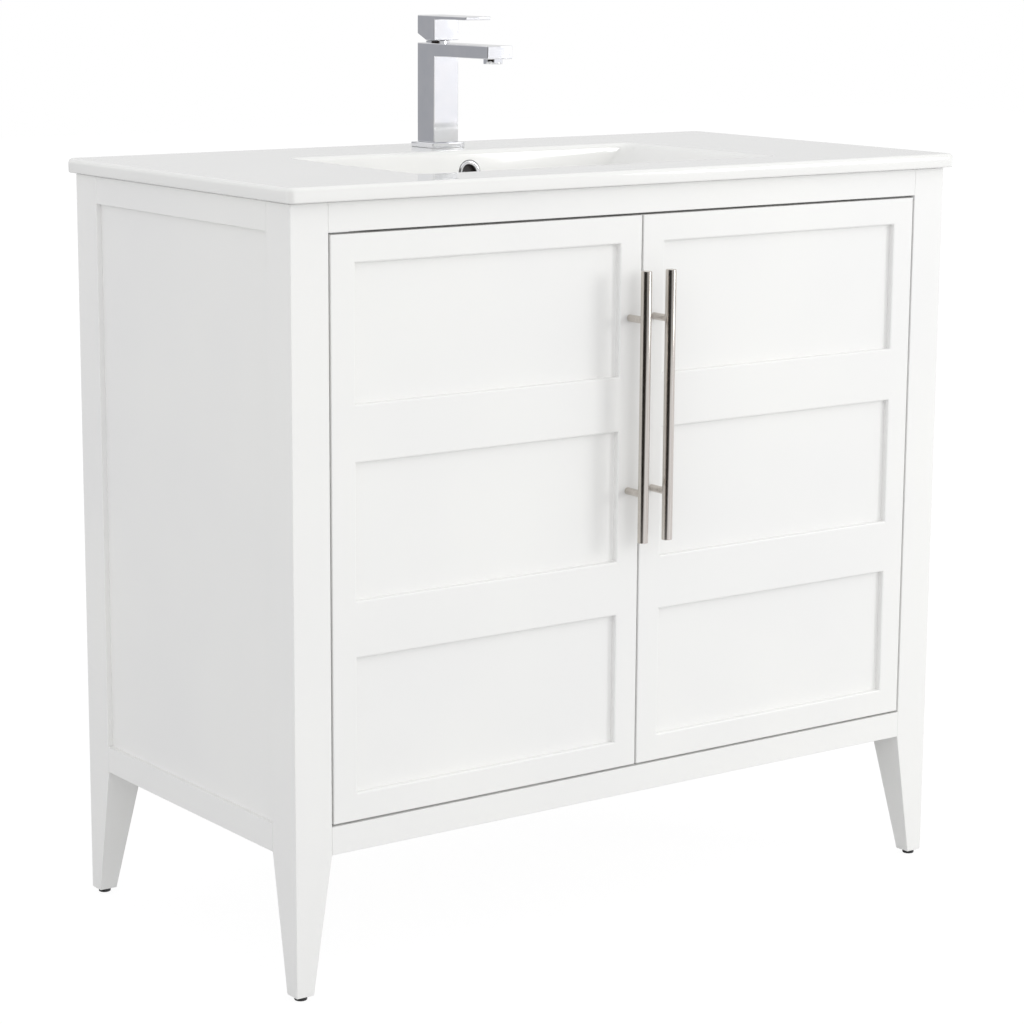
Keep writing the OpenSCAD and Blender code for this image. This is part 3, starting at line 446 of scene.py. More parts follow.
def door_frame(side):
    """Stiles and rails as one lacquered frame; its front rims are chamfered round the panels."""
    low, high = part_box("door_stiles_" + side)
    openings = door_openings(side)
    xs = [low.x, openings[0][0][0], openings[0][1][0], high.x]
    zs = [low.z] + [z for o in openings for z in (o[0][1], o[1][1])] + [high.z]
    bm = bmesh.new()
    grid = {}
    for layer, y in enumerate((low.y, high.y)):
        for i, x in enumerate(xs):
            for j, z in enumerate(zs):
                grid[layer, i, j] = bm.verts.new((x, y, z))

    def solid(i, j):
        inside = 0 <= i < len(xs) - 1 and 0 <= j < len(zs) - 1
        return inside and not (i == 1 and j % 2 == 1)

    for i in range(len(xs) - 1):
        for j in range(len(zs) - 1):
            if not solid(i, j):
                continue
            for layer in (0, 1):
                bm.faces.new([grid[layer, i, j], grid[layer, i + 1, j],
                              grid[layer, i + 1, j + 1], grid[layer, i, j + 1]])
            sides = {(-1, 0): ((i, j), (i, j + 1)),
                     (1, 0): ((i + 1, j), (i + 1, j + 1)),
                     (0, -1): ((i, j), (i + 1, j)),
                     (0, 1): ((i, j + 1), (i + 1, j + 1))}
            for (di, dj), (a, b) in sides.items():
                if not solid(i + di, j + dj):
                    bm.faces.new([grid[0, *a], grid[0, *b], grid[1, *b], grid[1, *a]])
    bmesh.ops.recalc_face_normals(bm, faces=bm.faces)
    mesh = bpy.data.meshes.new("frame_blank")
    bm.to_mesh(mesh)
    bm.free()
    blank = bpy.data.objects.new("frame_blank", mesh)
    bpy.context.scene.collection.objects.link(blank)

    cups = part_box("hinge_cups_" + side)
    cup_x, cup_r = (cups[0].x + cups[1].x) / 2, (cups[1].x - cups[0].x) / 2
    deep = 20 * MM
    drill = bmesh.new()
    for z in hinge_heights():
        bmesh.ops.create_cone(
            drill, segments=64, radius1=cup_r, radius2=cup_r, cap_ends=True, depth=2 * deep,
            matrix=Matrix.Translation((cup_x, cups[0].y + deep, z))
            @ Matrix.Rotation(math.pi / 2, 4, "X"))
    cutter = bpy.data.objects.new("drill", bpy.data.meshes.new("drill"))
    drill.to_mesh(cutter.data)
    drill.free()
    bpy.context.scene.collection.objects.link(cutter)
    cut = blank.modifiers.new("cups", "BOOLEAN")
    cut.object, cut.operation, cut.solver = cutter, "DIFFERENCE", "EXACT"
    cut_mesh = bpy.data.meshes.new_from_object(
        blank.evaluated_get(bpy.context.evaluated_depsgraph_get()))
    for scratch in (blank, cutter):
        bpy.data.objects.remove(scratch)

    bm = bmesh.new()
    bm.from_mesh(cut_mesh)
    bmesh.ops.remove_doubles(bm, verts=bm.verts, dist=WELD)
    bmesh.ops.dissolve_limit(bm, angle_limit=math.radians(1), verts=bm.verts, edges=bm.edges)
    outer = [e for e in bm.edges if on_outline(e, low, high)]
    for face in bm.faces:
        face.smooth = False
    rounds = bmesh.ops.bevel(bm, geom=outer, offset=DOOR_ARRIS * MM, segments=3, profile=0.5,
                             affect="EDGES", clamp_overlap=True)
    bmesh.ops.bevel(bm, geom=door_rim_edges(bm, low.y, xs, zs), offset=PANEL_RIM * MM, segments=2,
                    profile=0.5, affect="EDGES", clamp_overlap=True)
    for face in rounds["faces"]:
        if face.is_valid:
            face.smooth = True
    return piece("door_frame_" + side, bm, "door_" + side, "white_lacquer",
                 ("door_stiles_" + side, "door_rails_" + side))


def door_rim_edges(bm, y, xs, zs):
    """Edges round the panel openings, on the front face."""
    edges = []
    for e in bm.edges:
        a, b = e.verts[0].co, e.verts[1].co
        if abs(a.y - y) > ON_FACE or abs(b.y - y) > ON_FACE or len(e.link_faces) != 2:
            continue
        inside = all(xs[0] + MM < v.x < xs[-1] - MM and zs[0] + MM < v.z < zs[-1] - MM
                     for v in (a, b))
        if inside and e.calc_face_angle(0) > 1.0:
            edges.append(e)
    return edges


def on_outline(e, low, high):
    """Whether an edge is one of the door's twelve outer arrises."""
    sides = 0
    for axis in range(3):
        for bound in (low[axis], high[axis]):
            if all(abs(v.co[axis] - bound) < ON_FACE for v in e.verts):
                sides += 1
    return sides == 2


def door_panels(side):
    """Three flat panels that fill the frame's openings."""
    low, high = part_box("door_panels_" + side)
    tuck = 0.3 * MM
    bm = bmesh.new()
    for (x0, z0), (x1, z1) in door_openings(side):
        add_box(bm, (x0 - tuck, low.y, z0 - tuck), (x1 + tuck, high.y, z1 + tuck))
    for face in bm.faces:
        face.smooth = False
    return piece("door_panel_set_" + side, bm, "door_" + side, "white_lacquer", ("door_panels_" + side,))


def handle(side):
    """Long round bar with eased ends on two turned standoffs."""
    low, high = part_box("handle_bar_" + side)
    x, y = (low.x + high.x) / 2, (low.y + high.y) / 2
    radius, length = (high.x - low.x) / 2 / MM, (high.z - low.z) / MM
    ends = [(0.01, 0.0), (radius - 0.8, 0.0), (radius - 0.24, 0.24), (radius, 0.8)]
    profile = ends + [(r, length - h) for r, h in reversed(ends)]
    turned("handle_rod_" + side, profile, (x, y, low.z), (0, 0, 1), "door_" + side,
           "brushed_nickel", ("handle_bar_" + side,), sides=64)
    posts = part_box("handle_standoffs_" + side)
    post_r = (posts[1].x - posts[0].x) / 2 / MM
    reach = (posts[1].y - posts[0].y) / MM
    whole = bmesh.new()
    for z in (posts[0].z + post_r * MM, posts[1].z - post_r * MM):
        profile = [(0.01, 0.0), (post_r - 0.3, 0.0), (post_r, 0.3), (post_r, reach - 1.0),
                   (0.01, reach - 0.2)]
        add_rings(whole, lathe(profile, (x, posts[1].y, z), (0, -1, 0), 48))
    piece("handle_posts_" + side, whole, "door_" + side, "brushed_nickel",
          ("handle_standoffs_" + side,), crease=35)


for side in ("left", "right"):
    door_frame(side)
    door_panels(side)
    handle(side)

# ------------------------------------------------------------------ basin top

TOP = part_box("basin_deck")
SLAB_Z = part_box("top_sealant")[1].z
DECK_Z = TOP[1].z
BOWL_Y0 = TOP[0].y + BOWL_FRONT * MM
BOWL_Y1 = BOWL_Y0 + BOWL_D * MM
BOWL_Z = DECK_Z - BOWL_DEEP * MM
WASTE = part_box("waste_flange")
WASTE_Y = (WASTE[0].y + WASTE[1].y) / 2
CORNER_STEPS, LONG_STEPS, SHORT_STEPS = 8, 20, 12


def rounded_ring(half_x, y0, y1, radius, z):
    """A rounded rectangle as a closed ring; every ring has the same number of points."""
    points = []
    corners = [(half_x - radius, y0 + radius, -90), (half_x - radius, y1 - radius, 0),
               (-half_x + radius, y1 - radius, 90), (-half_x + radius, y0 + radius, 180)]
    steps = [SHORT_STEPS, LONG_STEPS, SHORT_STEPS, LONG_STEPS]
    arcs = []
    for cx, cy, start in corners:
        arcs.append([Vector((cx + radius * math.cos(math.radians(start + 90 * k / CORNER_STEPS)),
                             cy + radius * math.sin(math.radians(start + 90 * k / CORNER_STEPS)), z))
                     for k in range(CORNER_STEPS + 1)])
    for n, arc in enumerate(arcs):
        points += arc
        target = arcs[(n + 1) % 4][0]
        points += [arc[-1].lerp(target, k / steps[n]) for k in range(1, steps[n])]
    return points


def bowl_ring(z, grow_mm, radius_mm, at=None):
    """Ring of the bowl at a level: the leaning walls, moved outwards by grow_mm."""
    rise = ((at if at is not None else z) - BOWL_Z) / (BOWL_DEEP * MM)
    half = (BOWL_W / 2 - LEAN_SIDE * (1 - rise) + grow_mm) * MM
    y0 = BOWL_Y0 + (LEAN_FRONT * (1 - rise) - grow_mm) * MM
    y1 = BOWL_Y1 - (LEAN_BACK * (1 - rise) - grow_mm) * MM
    return rounded_ring(half, y0, y1, radius_mm * MM, z)


def circle_like(ring, radius_mm, z):
    """A circle round the waste whose points face those of a ring."""
    centre = Vector((0, WASTE_Y, z))
    lo = Vector((min(p.x for p in ring), min(p.y for p in ring)))
    hi = Vector((max(p.x for p in ring), max(p.y for p in ring)))
    points = []
    for p in ring:
        angle = math.atan2((p.y - WASTE_Y) / (hi.y - lo.y), p.x / (hi.x - lo.x))
        points.append(centre + Vector((math.cos(angle), math.sin(angle), 0)) * radius_mm * MM)
    return points


def basin_top():
    """The whole ceramic as one skin, from the waste hole out under the slab and back over the deck."""
    outer_x, outer_y0, outer_y1 = TOP[1].x, TOP[0].y, TOP[1].y
    under_z = BOWL_Z - (BOWL_WALL + 3.5) * MM
    rings = []

    def slab_ring(inset_mm, z, radius_mm):
        inset = inset_mm * MM
        rings.append(rounded_ring(outer_x - inset, outer_y0 + inset, outer_y1 - inset,
                                  (radius_mm - inset_mm) * MM, z))

    # underside of the bowl and its outer walls
    base = bowl_ring(under_z, BOWL_WALL - 14, 20)
    rings.append(circle_like(base, WASTE_TUBE_D / 2, under_z))
    rings.append(circle_like(base, WASTE_TUBE_D / 2 + 20, under_z))
    rings.append(base)
    rings.append(bowl_ring(under_z + 3 * MM, BOWL_WALL - 4, 26))
    rings.append(bowl_ring(under_z + 12 * MM, BOWL_WALL, 30))
    rings.append(bowl_ring(SLAB_Z - 8 * MM, BOWL_WALL, 24))
    rings.append(bowl_ring(SLAB_Z - 1 * MM, BOWL_WALL + 1.5, 22))
    rings.append(bowl_ring(SLAB_Z, BOWL_WALL + 5, 24))
    # underside of the slab, its lower arris, its edge and the rolled upper edge
    plan, lower, upper = 9.0, 2.0, 5.0
    slab_ring(lower + 3, SLAB_Z, plan)
    for k in range(5):
        t = math.pi / 2 * k / 4
        slab_ring(lower * (1 - math.sin(t)), SLAB_Z + lower * (1 - math.cos(t)) * MM, plan)
    for k in range(9):
        t = math.pi / 2 * k / 8
        slab_ring(upper * (1 - math.cos(t)), DECK_Z - upper * (1 - math.sin(t)) * MM, plan)
    slab_ring(upper + 1.5, DECK_Z, plan)
    # deck, rolled rim, walls, fillet
    rim, fillet = 6.0, 26.0
    rings.append(bowl_ring(DECK_Z, rim + 2.5, 14, DECK_Z))
    for k in range(7):
        t = math.pi / 2 * k / 6
        drop = rim * (1 - math.cos(t))
        rings.append(bowl_ring(DECK_Z - drop * MM, rim * (1 - math.sin(t)) - rim * 0.45, 12 + k * 0.4))
    for depth in (12, 24, 40, 60, BOWL_DEEP - fillet - 2):
        rings.append(bowl_ring(DECK_Z - depth * MM, -rim * 0.45, 14 + depth * 0.15))
    for k in range(1, 8):
        t = math.pi / 2 * k / 7
        depth = BOWL_DEEP - 2 - fillet * (1 - math.sin(t))
        rings.append(bowl_ring(DECK_Z - depth * MM, -fillet * (1 - math.cos(t)) - rim * 0.45, 26 + k))
    floor_ring = rings[-1]
    # floor falling to the waste, its recess and the hole
    target = circle_like(floor_ring, WASTE_D / 2 + 3.5, BOWL_Z)
    for share, fall in ((0.25, 0.3), (0.5, 0.7), (0.75, 1.2), (0.92, 1.6), (1.0, 2.0)):
        rings.append([a.lerp(b, share) for a, b in zip(floor_ring, target)])
        for p in rings[-1]:
            p.z = BOWL_Z + (2.0 - fall) * MM
    rings.append(circle_like(floor_ring, WASTE_D / 2 + 1.0, BOWL_Z - 0.5 * MM))
    rings.append(circle_like(floor_ring, WASTE_D / 2 + 0.3, BOWL_Z - 3.4 * MM))
    rings.append(circle_like(floor_ring, WASTE_TUBE_D / 2, BOWL_Z - 3.5 * MM))

    bm = bmesh.new()
    add_rings(bm, rings, closed=True)
    bmesh.ops.recalc_face_normals(bm, faces=bm.faces)
    return bored(bm)


def bored(bm):
    """Cuts the overflow through the back wall and the tap hole through the deck."""
    blank = bpy.data.objects.new("china_blank", bpy.data.meshes.new("china_blank"))
    bm.to_mesh(blank.data)
    bm.free()
    drill = bmesh.new()
    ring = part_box("overflow_ring")
    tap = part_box("tap_plate")
    bmesh.ops.create_cone(
        drill, segments=72, radius1=OVERFLOW_BORE / 2 * MM, radius2=OVERFLOW_BORE / 2 * MM,
        depth=60 * MM, cap_ends=True,
        matrix=Matrix.Translation((0, ring[1].y, (ring[0].z + ring[1].z) / 2))
        @ Matrix.Rotation(math.pi / 2, 4, "X"))
    bmesh.ops.create_cone(
        drill, segments=72, radius1=TAP_HOLE_D / 2 * MM, radius2=TAP_HOLE_D / 2 * MM,
        depth=60 * MM, cap_ends=True,
        matrix=Matrix.Translation((0, (tap[0].y + tap[1].y) / 2, DECK_Z)))
    cutter = bpy.data.objects.new("china_drill", bpy.data.meshes.new("china_drill"))
    drill.to_mesh(cutter.data)
    drill.free()
    for scratch in (blank, cutter):
        bpy.context.scene.collection.objects.link(scratch)
    cut = blank.modifiers.new("bores", "BOOLEAN")
    cut.object, cut.operation, cut.solver = cutter, "DIFFERENCE", "EXACT"
    mesh = bpy.data.meshes.new_from_object(blank.evaluated_get(bpy.context.evaluated_depsgraph_get()))
    for scratch in (blank, cutter):
        bpy.data.objects.remove(scratch)
    done = bmesh.new()
    done.from_mesh(mesh)
    bmesh.ops.remove_doubles(done, verts=done.verts, dist=WELD)
    return piece("china_top", done, "cabinet", "glazed_china", ("basin_deck", "basin_bowl"), crease=32)


def overflow_duct():
    """Glazed duct cast on the back of the bowl, down to a round boss under the waste."""
    low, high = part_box("overflow_duct")
    wall_y = BOWL_Y1 - (LEAN_BACK - BOWL_WALL) * MM
    under_z = BOWL_Z - (BOWL_WALL + WASTE_SEAT) * MM
    half, boss_r = DUCT_W / 2 * MM, WASTE_Y - low.y
    top_y = wall_y + LEAN_BACK * MM * (1 - (DECK_Z - high.z) / (BOWL_DEEP * MM)) - DUCT_LAP * MM
    bm = bmesh.new()
    sunk_y = wall_y - DUCT_LAP * MM
    back = [(sunk_y, low.z), (high.y, low.z), (high.y, high.z), (top_y, high.z), (sunk_y, BOWL_Z)]
    add_prism(bm, back, -half, half, "x")
    add_box(bm, (-half, WASTE_Y + boss_r / 2, low.z), (half, wall_y, under_z + DUCT_LAP * MM))
    bmesh.ops.recalc_face_normals(bm, faces=bm.faces)
    ease(bm, 3, 3)
    tube_r, rise = WASTE_TUBE_D / 2, (under_z - low.z) / MM + 1
    boss = [(tube_r, 0), (boss_r / MM - 3, 0), (boss_r / MM - 0.9, 0.9), (boss_r / MM, 3),
            (boss_r / MM, rise), (tube_r, rise)]
    add_rings(bm, lathe(boss, (0, WASTE_Y, low.z), (0, 0, 1), 64), closed=True)
    return piece("duct_casting", bm, "cabinet", "glazed_china", ("overflow_duct",), crease=40)


def overflow_trim():
    """Chrome ring round the overflow, leaning with the wall, edged by a thin black ring that paints a
    dark reflection round it, and a throat painted near-black for the shade inside.
    """
    low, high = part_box("overflow_ring")
    centre = Vector((0, high.y, (low.z + high.z) / 2))
    lean = math.atan(LEAN_BACK / BOWL_DEEP)
    face = Vector((0, -math.cos(lean), math.sin(lean)))
    wall_y = BOWL_Y1 - (LEAN_BACK * OVERFLOW_DROP / BOWL_DEEP + 2.7) * MM
    centre.y = wall_y
    outer, inner = OVERFLOW_OUTER, OVERFLOW_INNER
    profile = [(inner, -7.0), (outer - 3.6, -7.0), (outer - 3.6, -0.2), (outer, -0.2), (outer, 0.4),
               (outer - 0.5, 1.15), (outer - 1.5, 1.75), (outer - 2.7, 1.75),
               (outer - 3.7, 1.2), (inner, 0.2)]
    turned("overflow_trim", profile, centre, face, "cabinet", "polished_chrome", ("overflow_ring",),
           closed=True, sides=72)
    # Painted reflection: a thin black ring, a little wider than the trim, stands in for the dark
    # reflection round its edge
    painted_dark_ring = [(outer - 2.0, -0.2), (outer + 0.55, -0.2), (outer + 0.55, 0.2), (outer - 2.0, 0.2)]
    turned("overflow_painted_dark_ring", painted_dark_ring, centre, face, "cabinet", "black_rubber", closed=True, sides=72)
    # Painted shade: the throat is near-black to stand in for the shade inside the overflow
    throat = [(0.01, -7.5), (inner + 0.3, -7.5), (inner + 0.3, -6.9), (inner - 0.05, -6.9),
              (inner - 0.05, 0.0), (inner - 0.8, -0.3), (inner - 1.1, -4.5), (0.01, -4.5)]
    bm = bmesh.new()
    add_rings(bm, lathe(throat, centre, face, 48))
    piece("overflow_throat", bm, "cabinet", "black_rubber", finish=PAINTED_SHADE, crease=35)


basin_top()
overflow_duct()
overflow_trim()

# ------------------------------------------------------------------ waste


def waste():
    """Flange with a rolled rim, and a domed push stopper on its stem."""
    flange_r, tube_r = WASTE_D / 2, WASTE_TUBE_D / 2
    length = (WASTE[1].z - WASTE[0].z) / MM
    bore = tube_r - 3
    profile = [(bore, 0.0), (tube_r, 0.0), (tube_r, length - 3.2), (flange_r - 0.6, length - 3.0),
               (flange_r, length - 2.2), (flange_r - 0.3, length - 1.0), (flange_r - 2.0, length - 0.1),
               (flange_r - 4.5, length), (bore + 5, length - 1.2), (bore, length - 5)]
    turned("waste_rim", profile, (0, WASTE_Y, WASTE[0].z), (0, 0, 1), "cabinet", "polished_chrome",
           ("waste_flange",), closed=True, sides=72)
    low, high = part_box("waste_stopper")
    cap_r, cap_t, stem_r = (high.x - low.x) / 2 / MM, 4.0, 4.0
    height = (high.z - low.z) / MM
    base = height - cap_t
    profile = [(0.01, 0.0), (stem_r - 0.6, 0.0), (stem_r, 0.6), (stem_r, base), (cap_r - 0.5, base),
               (cap_r, base + 0.5), (cap_r, base + 1.6), (cap_r - 0.6, base + 2.4),
               (cap_r * 0.8, base + 3.3), (cap_r * 0.45, base + 3.85), (0.01, height)]
    turned("push_stopper", profile, (0, WASTE_Y, low.z), (0, 0, 1), "stopper", "polished_chrome",
           ("waste_stopper",), sides=72, crease=30)


waste()

# ------------------------------------------------------------------ tap

EASE_CHROME = 0.9


def tap():
    """Square column with a flat spout, its base plate, round aerator, and the lever."""
    low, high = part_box("tap_body")
    width = high.x - low.x
    face_y = high.y - width
    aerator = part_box("tap_aerator")
    under = aerator[1].z
    bm = bmesh.new()
    add_prism(bm, [(high.y, low.z), (high.y, high.z), (low.y, high.z), (low.y, under),
                   (face_y, under), (face_y, low.z)], low.x, high.x, "x")
    bmesh.ops.recalc_face_normals(bm, faces=bm.faces)
    ease(bm, EASE_CHROME, 3)
    piece("tap_column", bm, "cabinet", "polished_chrome", ("tap_body",))

    bm = bmesh.new()
    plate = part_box("tap_plate")
    add_box(bm, *plate)
    ease(bm, 0.9, 3)
    piece("tap_base", bm, "cabinet", "polished_chrome", ("tap_plate",))

    low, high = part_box("tap_lever")
    cut, thick, gap = 7.5 * MM, 4.0 * MM, low.z
    mid_y = high.y - width / 2
    bm = bmesh.new()
    add_prism(bm, [(face_y, gap), (mid_y, gap), (high.y, gap + cut), (high.y, high.z), (low.y, high.z),
                   (low.y, high.z - thick), (face_y, high.z - thick)], low.x, high.x, "x")
    bmesh.ops.recalc_face_normals(bm, faces=bm.faces)
    ease(bm, EASE_CHROME, 3)
    piece("lever_block", bm, "tap_handle", "polished_chrome", ("tap_lever",))

    low, high = aerator
    radius, height = (high.x - low.x) / 2 / MM, (high.z - low.z) / MM
    centre = (0, (low.y + high.y) / 2, low.z)
    inner = radius - 1.6
    profile = [(inner, 0.3), (inner + 0.3, 0.0), (radius - 0.9, 0.0), (radius - 0.25, 0.25),
               (radius, 0.9), (radius, height), (inner, height)]
    turned("aerator_shell", profile, centre, (0, 0, 1), "cabinet", "polished_chrome",
           ("tap_aerator",), closed=True, sides=72)
    # Painted shade: the grid and ribs inside the aerator are near-black for the shade in its recess
    bm = bmesh.new()
    add_rings(bm, lathe([(0.01, 2.6), (inner + 0.2, 2.6), (inner + 0.2, height - 0.5),
                             (0.01, height - 0.5)], centre, (0, 0, 1), 48))
    ribs, half = 5, 0.45 * MM
    for k in range(ribs):
        offset = (2 * (k + 1) / (ribs + 1) - 1) * inner
        reach = math.sqrt(inner ** 2 - offset ** 2) * MM
        for along_x in (True, False):
            a, b = (reach, half) if along_x else (half, reach)
            cx, cy = (0, offset * MM) if along_x else (offset * MM, 0)
            top = (2.2 if along_x else 1.9) * MM
            add_box(bm, (cx - a, centre[1] + cy - b, low.z + 1.0 * MM),
                    (cx + a, centre[1] + cy + b, low.z + top))
    piece("aerator_grid", bm, "cabinet", "black_rubber", finish=PAINTED_SHADE)

    low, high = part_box("tap_cartridge")
    radius, height = (high.x - low.x) / 2 / MM, (high.z - low.z) / MM
    column_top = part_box("tap_body")[1].z
    base = (column_top - low.z) / MM
    profile = [(9.1, base - 6), (radius - 2, base - 6), (radius - 0.4, base), (radius, base + 0.3),
               (radius, height - 0.7), (radius - 0.5, height), (9.3, height), (9.1, height - 0.3)]
    turned("tap_collar", profile, (0, (low.y + high.y) / 2, low.z), (0, 0, 1), "cabinet",
           "polished_chrome", closed=True, sides=72)


tap()

# ------------------------------------------------------------------ screws


def screw_tree(finish):
    """Geometry Nodes: a pan head with a cross recess on every point, facing one way."""
    tree = bpy.data.node_groups.new("cross_screws_" + finish.name, "GeometryNodeTree")
    for name, kind, way in (("Geometry", "NodeSocketGeometry", "INPUT"),
                            ("Head Diameter", "NodeSocketFloat", "INPUT"),
                            ("Head Height", "NodeSocketFloat", "INPUT"),
                            ("Facing", "NodeSocketVector", "INPUT"),
                            ("Geometry", "NodeSocketGeometry", "OUTPUT")):
        tree.interface.new_socket(name, in_out=way, socket_type=kind)
    given = add(tree, "NodeGroupInput")
    radius = add(tree, "ShaderNodeMath", {"operation": "MULTIPLY", 1: 0.5}, {0: given.outputs[1]})
    top_r = add(tree, "ShaderNodeMath", {"operation": "MULTIPLY", 1: 0.36}, {0: given.outputs[1]})
    head = add(tree, "GeometryNodeMeshCone", {"Vertices": 40, "Side Segments": 1},
               {"Radius Bottom": radius.outputs[0], "Radius Top": top_r.outputs[0],
                "Depth": given.outputs[2]})
    slot_l = add(tree, "ShaderNodeMath", {"operation": "MULTIPLY", 1: 0.5}, {0: given.outputs[1]})
    slot_w = add(tree, "ShaderNodeMath", {"operation": "MULTIPLY", 1: 0.11}, {0: given.outputs[1]})
    bars = []
    for first, second in ((slot_l, slot_w), (slot_w, slot_l)):
        size = add(tree, "ShaderNodeCombineXYZ", None,
                   {"X": first.outputs[0], "Y": second.outputs[0], "Z": given.outputs[2]})
        bar = add(tree, "GeometryNodeMeshCube", None, {"Size": size.outputs[0]})
        lift = add(tree, "ShaderNodeCombineXYZ", None, {"Z": given.outputs[2]})
        bars.append(add(tree, "GeometryNodeTransform", None,
                        {"Geometry": bar.outputs["Mesh"], "Translation": lift.outputs[0]}))
    cross = add(tree, "GeometryNodeMeshBoolean", {"operation": "DIFFERENCE"})
    tree.links.new(head.outputs["Mesh"], cross.inputs[0])
    for bar in bars:
        tree.links.new(bar.outputs[0], cross.inputs[1])
    aim = add(tree, "FunctionNodeAlignEulerToVector", {"axis": "Z"}, {"Vector": given.outputs[3]})
    spread = add(tree, "GeometryNodeInstanceOnPoints", None,
                 {"Points": given.outputs[0], "Instance": cross.outputs["Mesh"],
                  "Rotation": aim.outputs[0]})
    real = add(tree, "GeometryNodeRealizeInstances", None, {"Geometry": spread.outputs[0]})
    paint = add(tree, "GeometryNodeSetMaterial", {"Material": finish}, {"Geometry": real.outputs[0]})
    out = add(tree, "NodeGroupOutput")
    tree.links.new(paint.outputs[0], out.inputs[0])
    return tree


SCREWS = screw_tree(STEEL)


def screws(name, points, facing, head, body, replaces=()):
    """Screw heads at points, made plain mesh; each head's under side sits on its point."""
    head_d, head_t = head
    mesh = bpy.data.meshes.new(name + "_points")
    mesh.from_pydata(points, [], [])
    carrier = bpy.data.objects.new(name + "_points", mesh)
    bpy.context.scene.collection.objects.link(carrier)
    made = carrier.modifiers.new("screws", "NODES")
    made.node_group = SCREWS
    sockets = {s.name: s.identifier for s in SCREWS.interface.items_tree if s.in_out == "INPUT"}
    made[sockets["Head Diameter"]] = head_d * MM
    made[sockets["Head Height"]] = head_t * MM
    made[sockets["Facing"]] = tuple(Vector(facing))
    result = bpy.data.meshes.new_from_object(
        carrier.evaluated_get(bpy.context.evaluated_depsgraph_get()))
    bpy.data.objects.remove(carrier)
    bm = bmesh.new()
    bm.from_mesh(result)
    bpy.data.meshes.remove(result)
    return piece(name, bm, body, "plated_steel", replaces, finish=STEEL, crease=30)


for side in ("left", "right"):
    low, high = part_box("cup_screws_" + side)
    x = (low.x + high.x) / 2
    points = [(x, high.y - HINGE_SCREW[1] * MM, z + s * CUP_SCREW_UP * MM)
              for z in hinge_heights() for s in (-1, 1)]
    screws("cup_screw_heads_" + side, points, (0, 1, 0), HINGE_SCREW, "door_" + side,
           ("cup_screws_" + side,))
    low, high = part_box("handle_screws_" + side)
    x, z = (low.x + high.x) / 2, (low.z + high.z) / 2
    points = [(x, high.y - HANDLE_SCREW[1] * MM, z + s * HANDLE_PITCH / 2 * MM) for s in (-1, 1)]
    screws("handle_screw_heads_" + side, points, (0, 1, 0), HANDLE_SCREW, "door_" + side,
           ("handle_screws_" + side,))
arm_low, arm_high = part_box("hinge_arm_screws")
leaf_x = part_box("hinge_arms_right")[1].x - 1.5 * MM
leaf_y = (arm_low.y + arm_high.y) / 2
both = [[(sx * leaf_x, leaf_y, z + s * LEAF_SCREW_UP * MM) for z in hinge_heights() for s in (-1, 1)]
        for sx in (-1, 1)]
screws("arm_screw_heads_left", both[0], (1, 0, 0), HINGE_SCREW, "cabinet", ("hinge_arm_screws",))
screws("arm_screw_heads_right", both[1], (-1, 0, 0), HINGE_SCREW, "cabinet")

# ------------------------------------------------------------------ studio

CAMERA_AT = Vector((-1966.35, -2677.27, 1100.1)) * MM
YAW, PITCH, ROLL = math.radians(-36.05), math.radians(11.20), math.radians(0.34)
LENS, SENSOR = 101.66, 36.0


def camera():
    ahead = Vector((-math.sin(YAW) * math.cos(PITCH), math.cos(YAW) * math.cos(PITCH), -math.sin(PITCH)))
    level = Vector((math.cos(YAW), math.sin(YAW), 0))
    up = level.cross(ahead)
    right = math.cos(ROLL) * level + math.sin(ROLL) * up
    top = -math.sin(ROLL) * level + math.cos(ROLL) * up
    data = bpy.data.cameras.new("camera")
    data.lens, data.sensor_width = LENS, SENSOR
    obj = bpy.data.objects.new("camera", data)
    turn = Matrix((right, top, -ahead)).transposed()
    obj.matrix_world = Matrix.Translation(CAMERA_AT) @ turn.to_4x4()
    bpy.context.scene.collection.objects.link(obj)
    bpy.context.scene.camera = obj


def white_floor():
    """Pale floor: white to the eye, open to the studio in reflections, and it keeps a soft shadow."""
    mat = bpy.data.materials.new("studio_floor")
    mat.use_nodes = True
    tree = mat.node_tree
    tree.nodes.clear()
    paint = add(tree, "ShaderNodeBsdfDiffuse", {"Color": linear("#D4D4D4")})
    glow = add(tree, "ShaderNodeEmission", {"Color": linear("#FFFFFF"), "Strength": 1.1})
    clear = add(tree, "ShaderNodeBsdfTransparent")
    path = add(tree, "ShaderNodeLightPath")
    seen = add(tree, "ShaderNodeMath", {"operation": "MAXIMUM"},
               {0: path.outputs["Is Camera Ray"], 1: path.outputs["Is Transmission Ray"]})
    share = add(tree, "ShaderNodeMath", {"operation": "MULTIPLY", 1: 0.85}, {0: seen.outputs[0]})
    lit = add(tree, "ShaderNodeMixShader", None,
              {0: share.outputs[0], 1: paint.outputs[0], 2: glow.outputs[0]})
    mix = add(tree, "ShaderNodeMixShader", None,
              {0: path.outputs["Is Glossy Ray"], 1: lit.outputs[0], 2: clear.outputs[0]})
    out = add(tree, "ShaderNodeOutputMaterial")
    tree.links.new(mix.outputs[0], out.inputs[0])
    bm = bmesh.new()
    bmesh.ops.create_grid(bm, x_segments=1, y_segments=1, size=12.0)
    mesh = bpy.data.meshes.new("studio_floor")
    bm.to_mesh(mesh)
    bm.free()
    mesh.materials.append(mat)
    obj = bpy.data.objects.new("studio_floor", mesh)
    bpy.context.scene.collection.objects.link(obj)


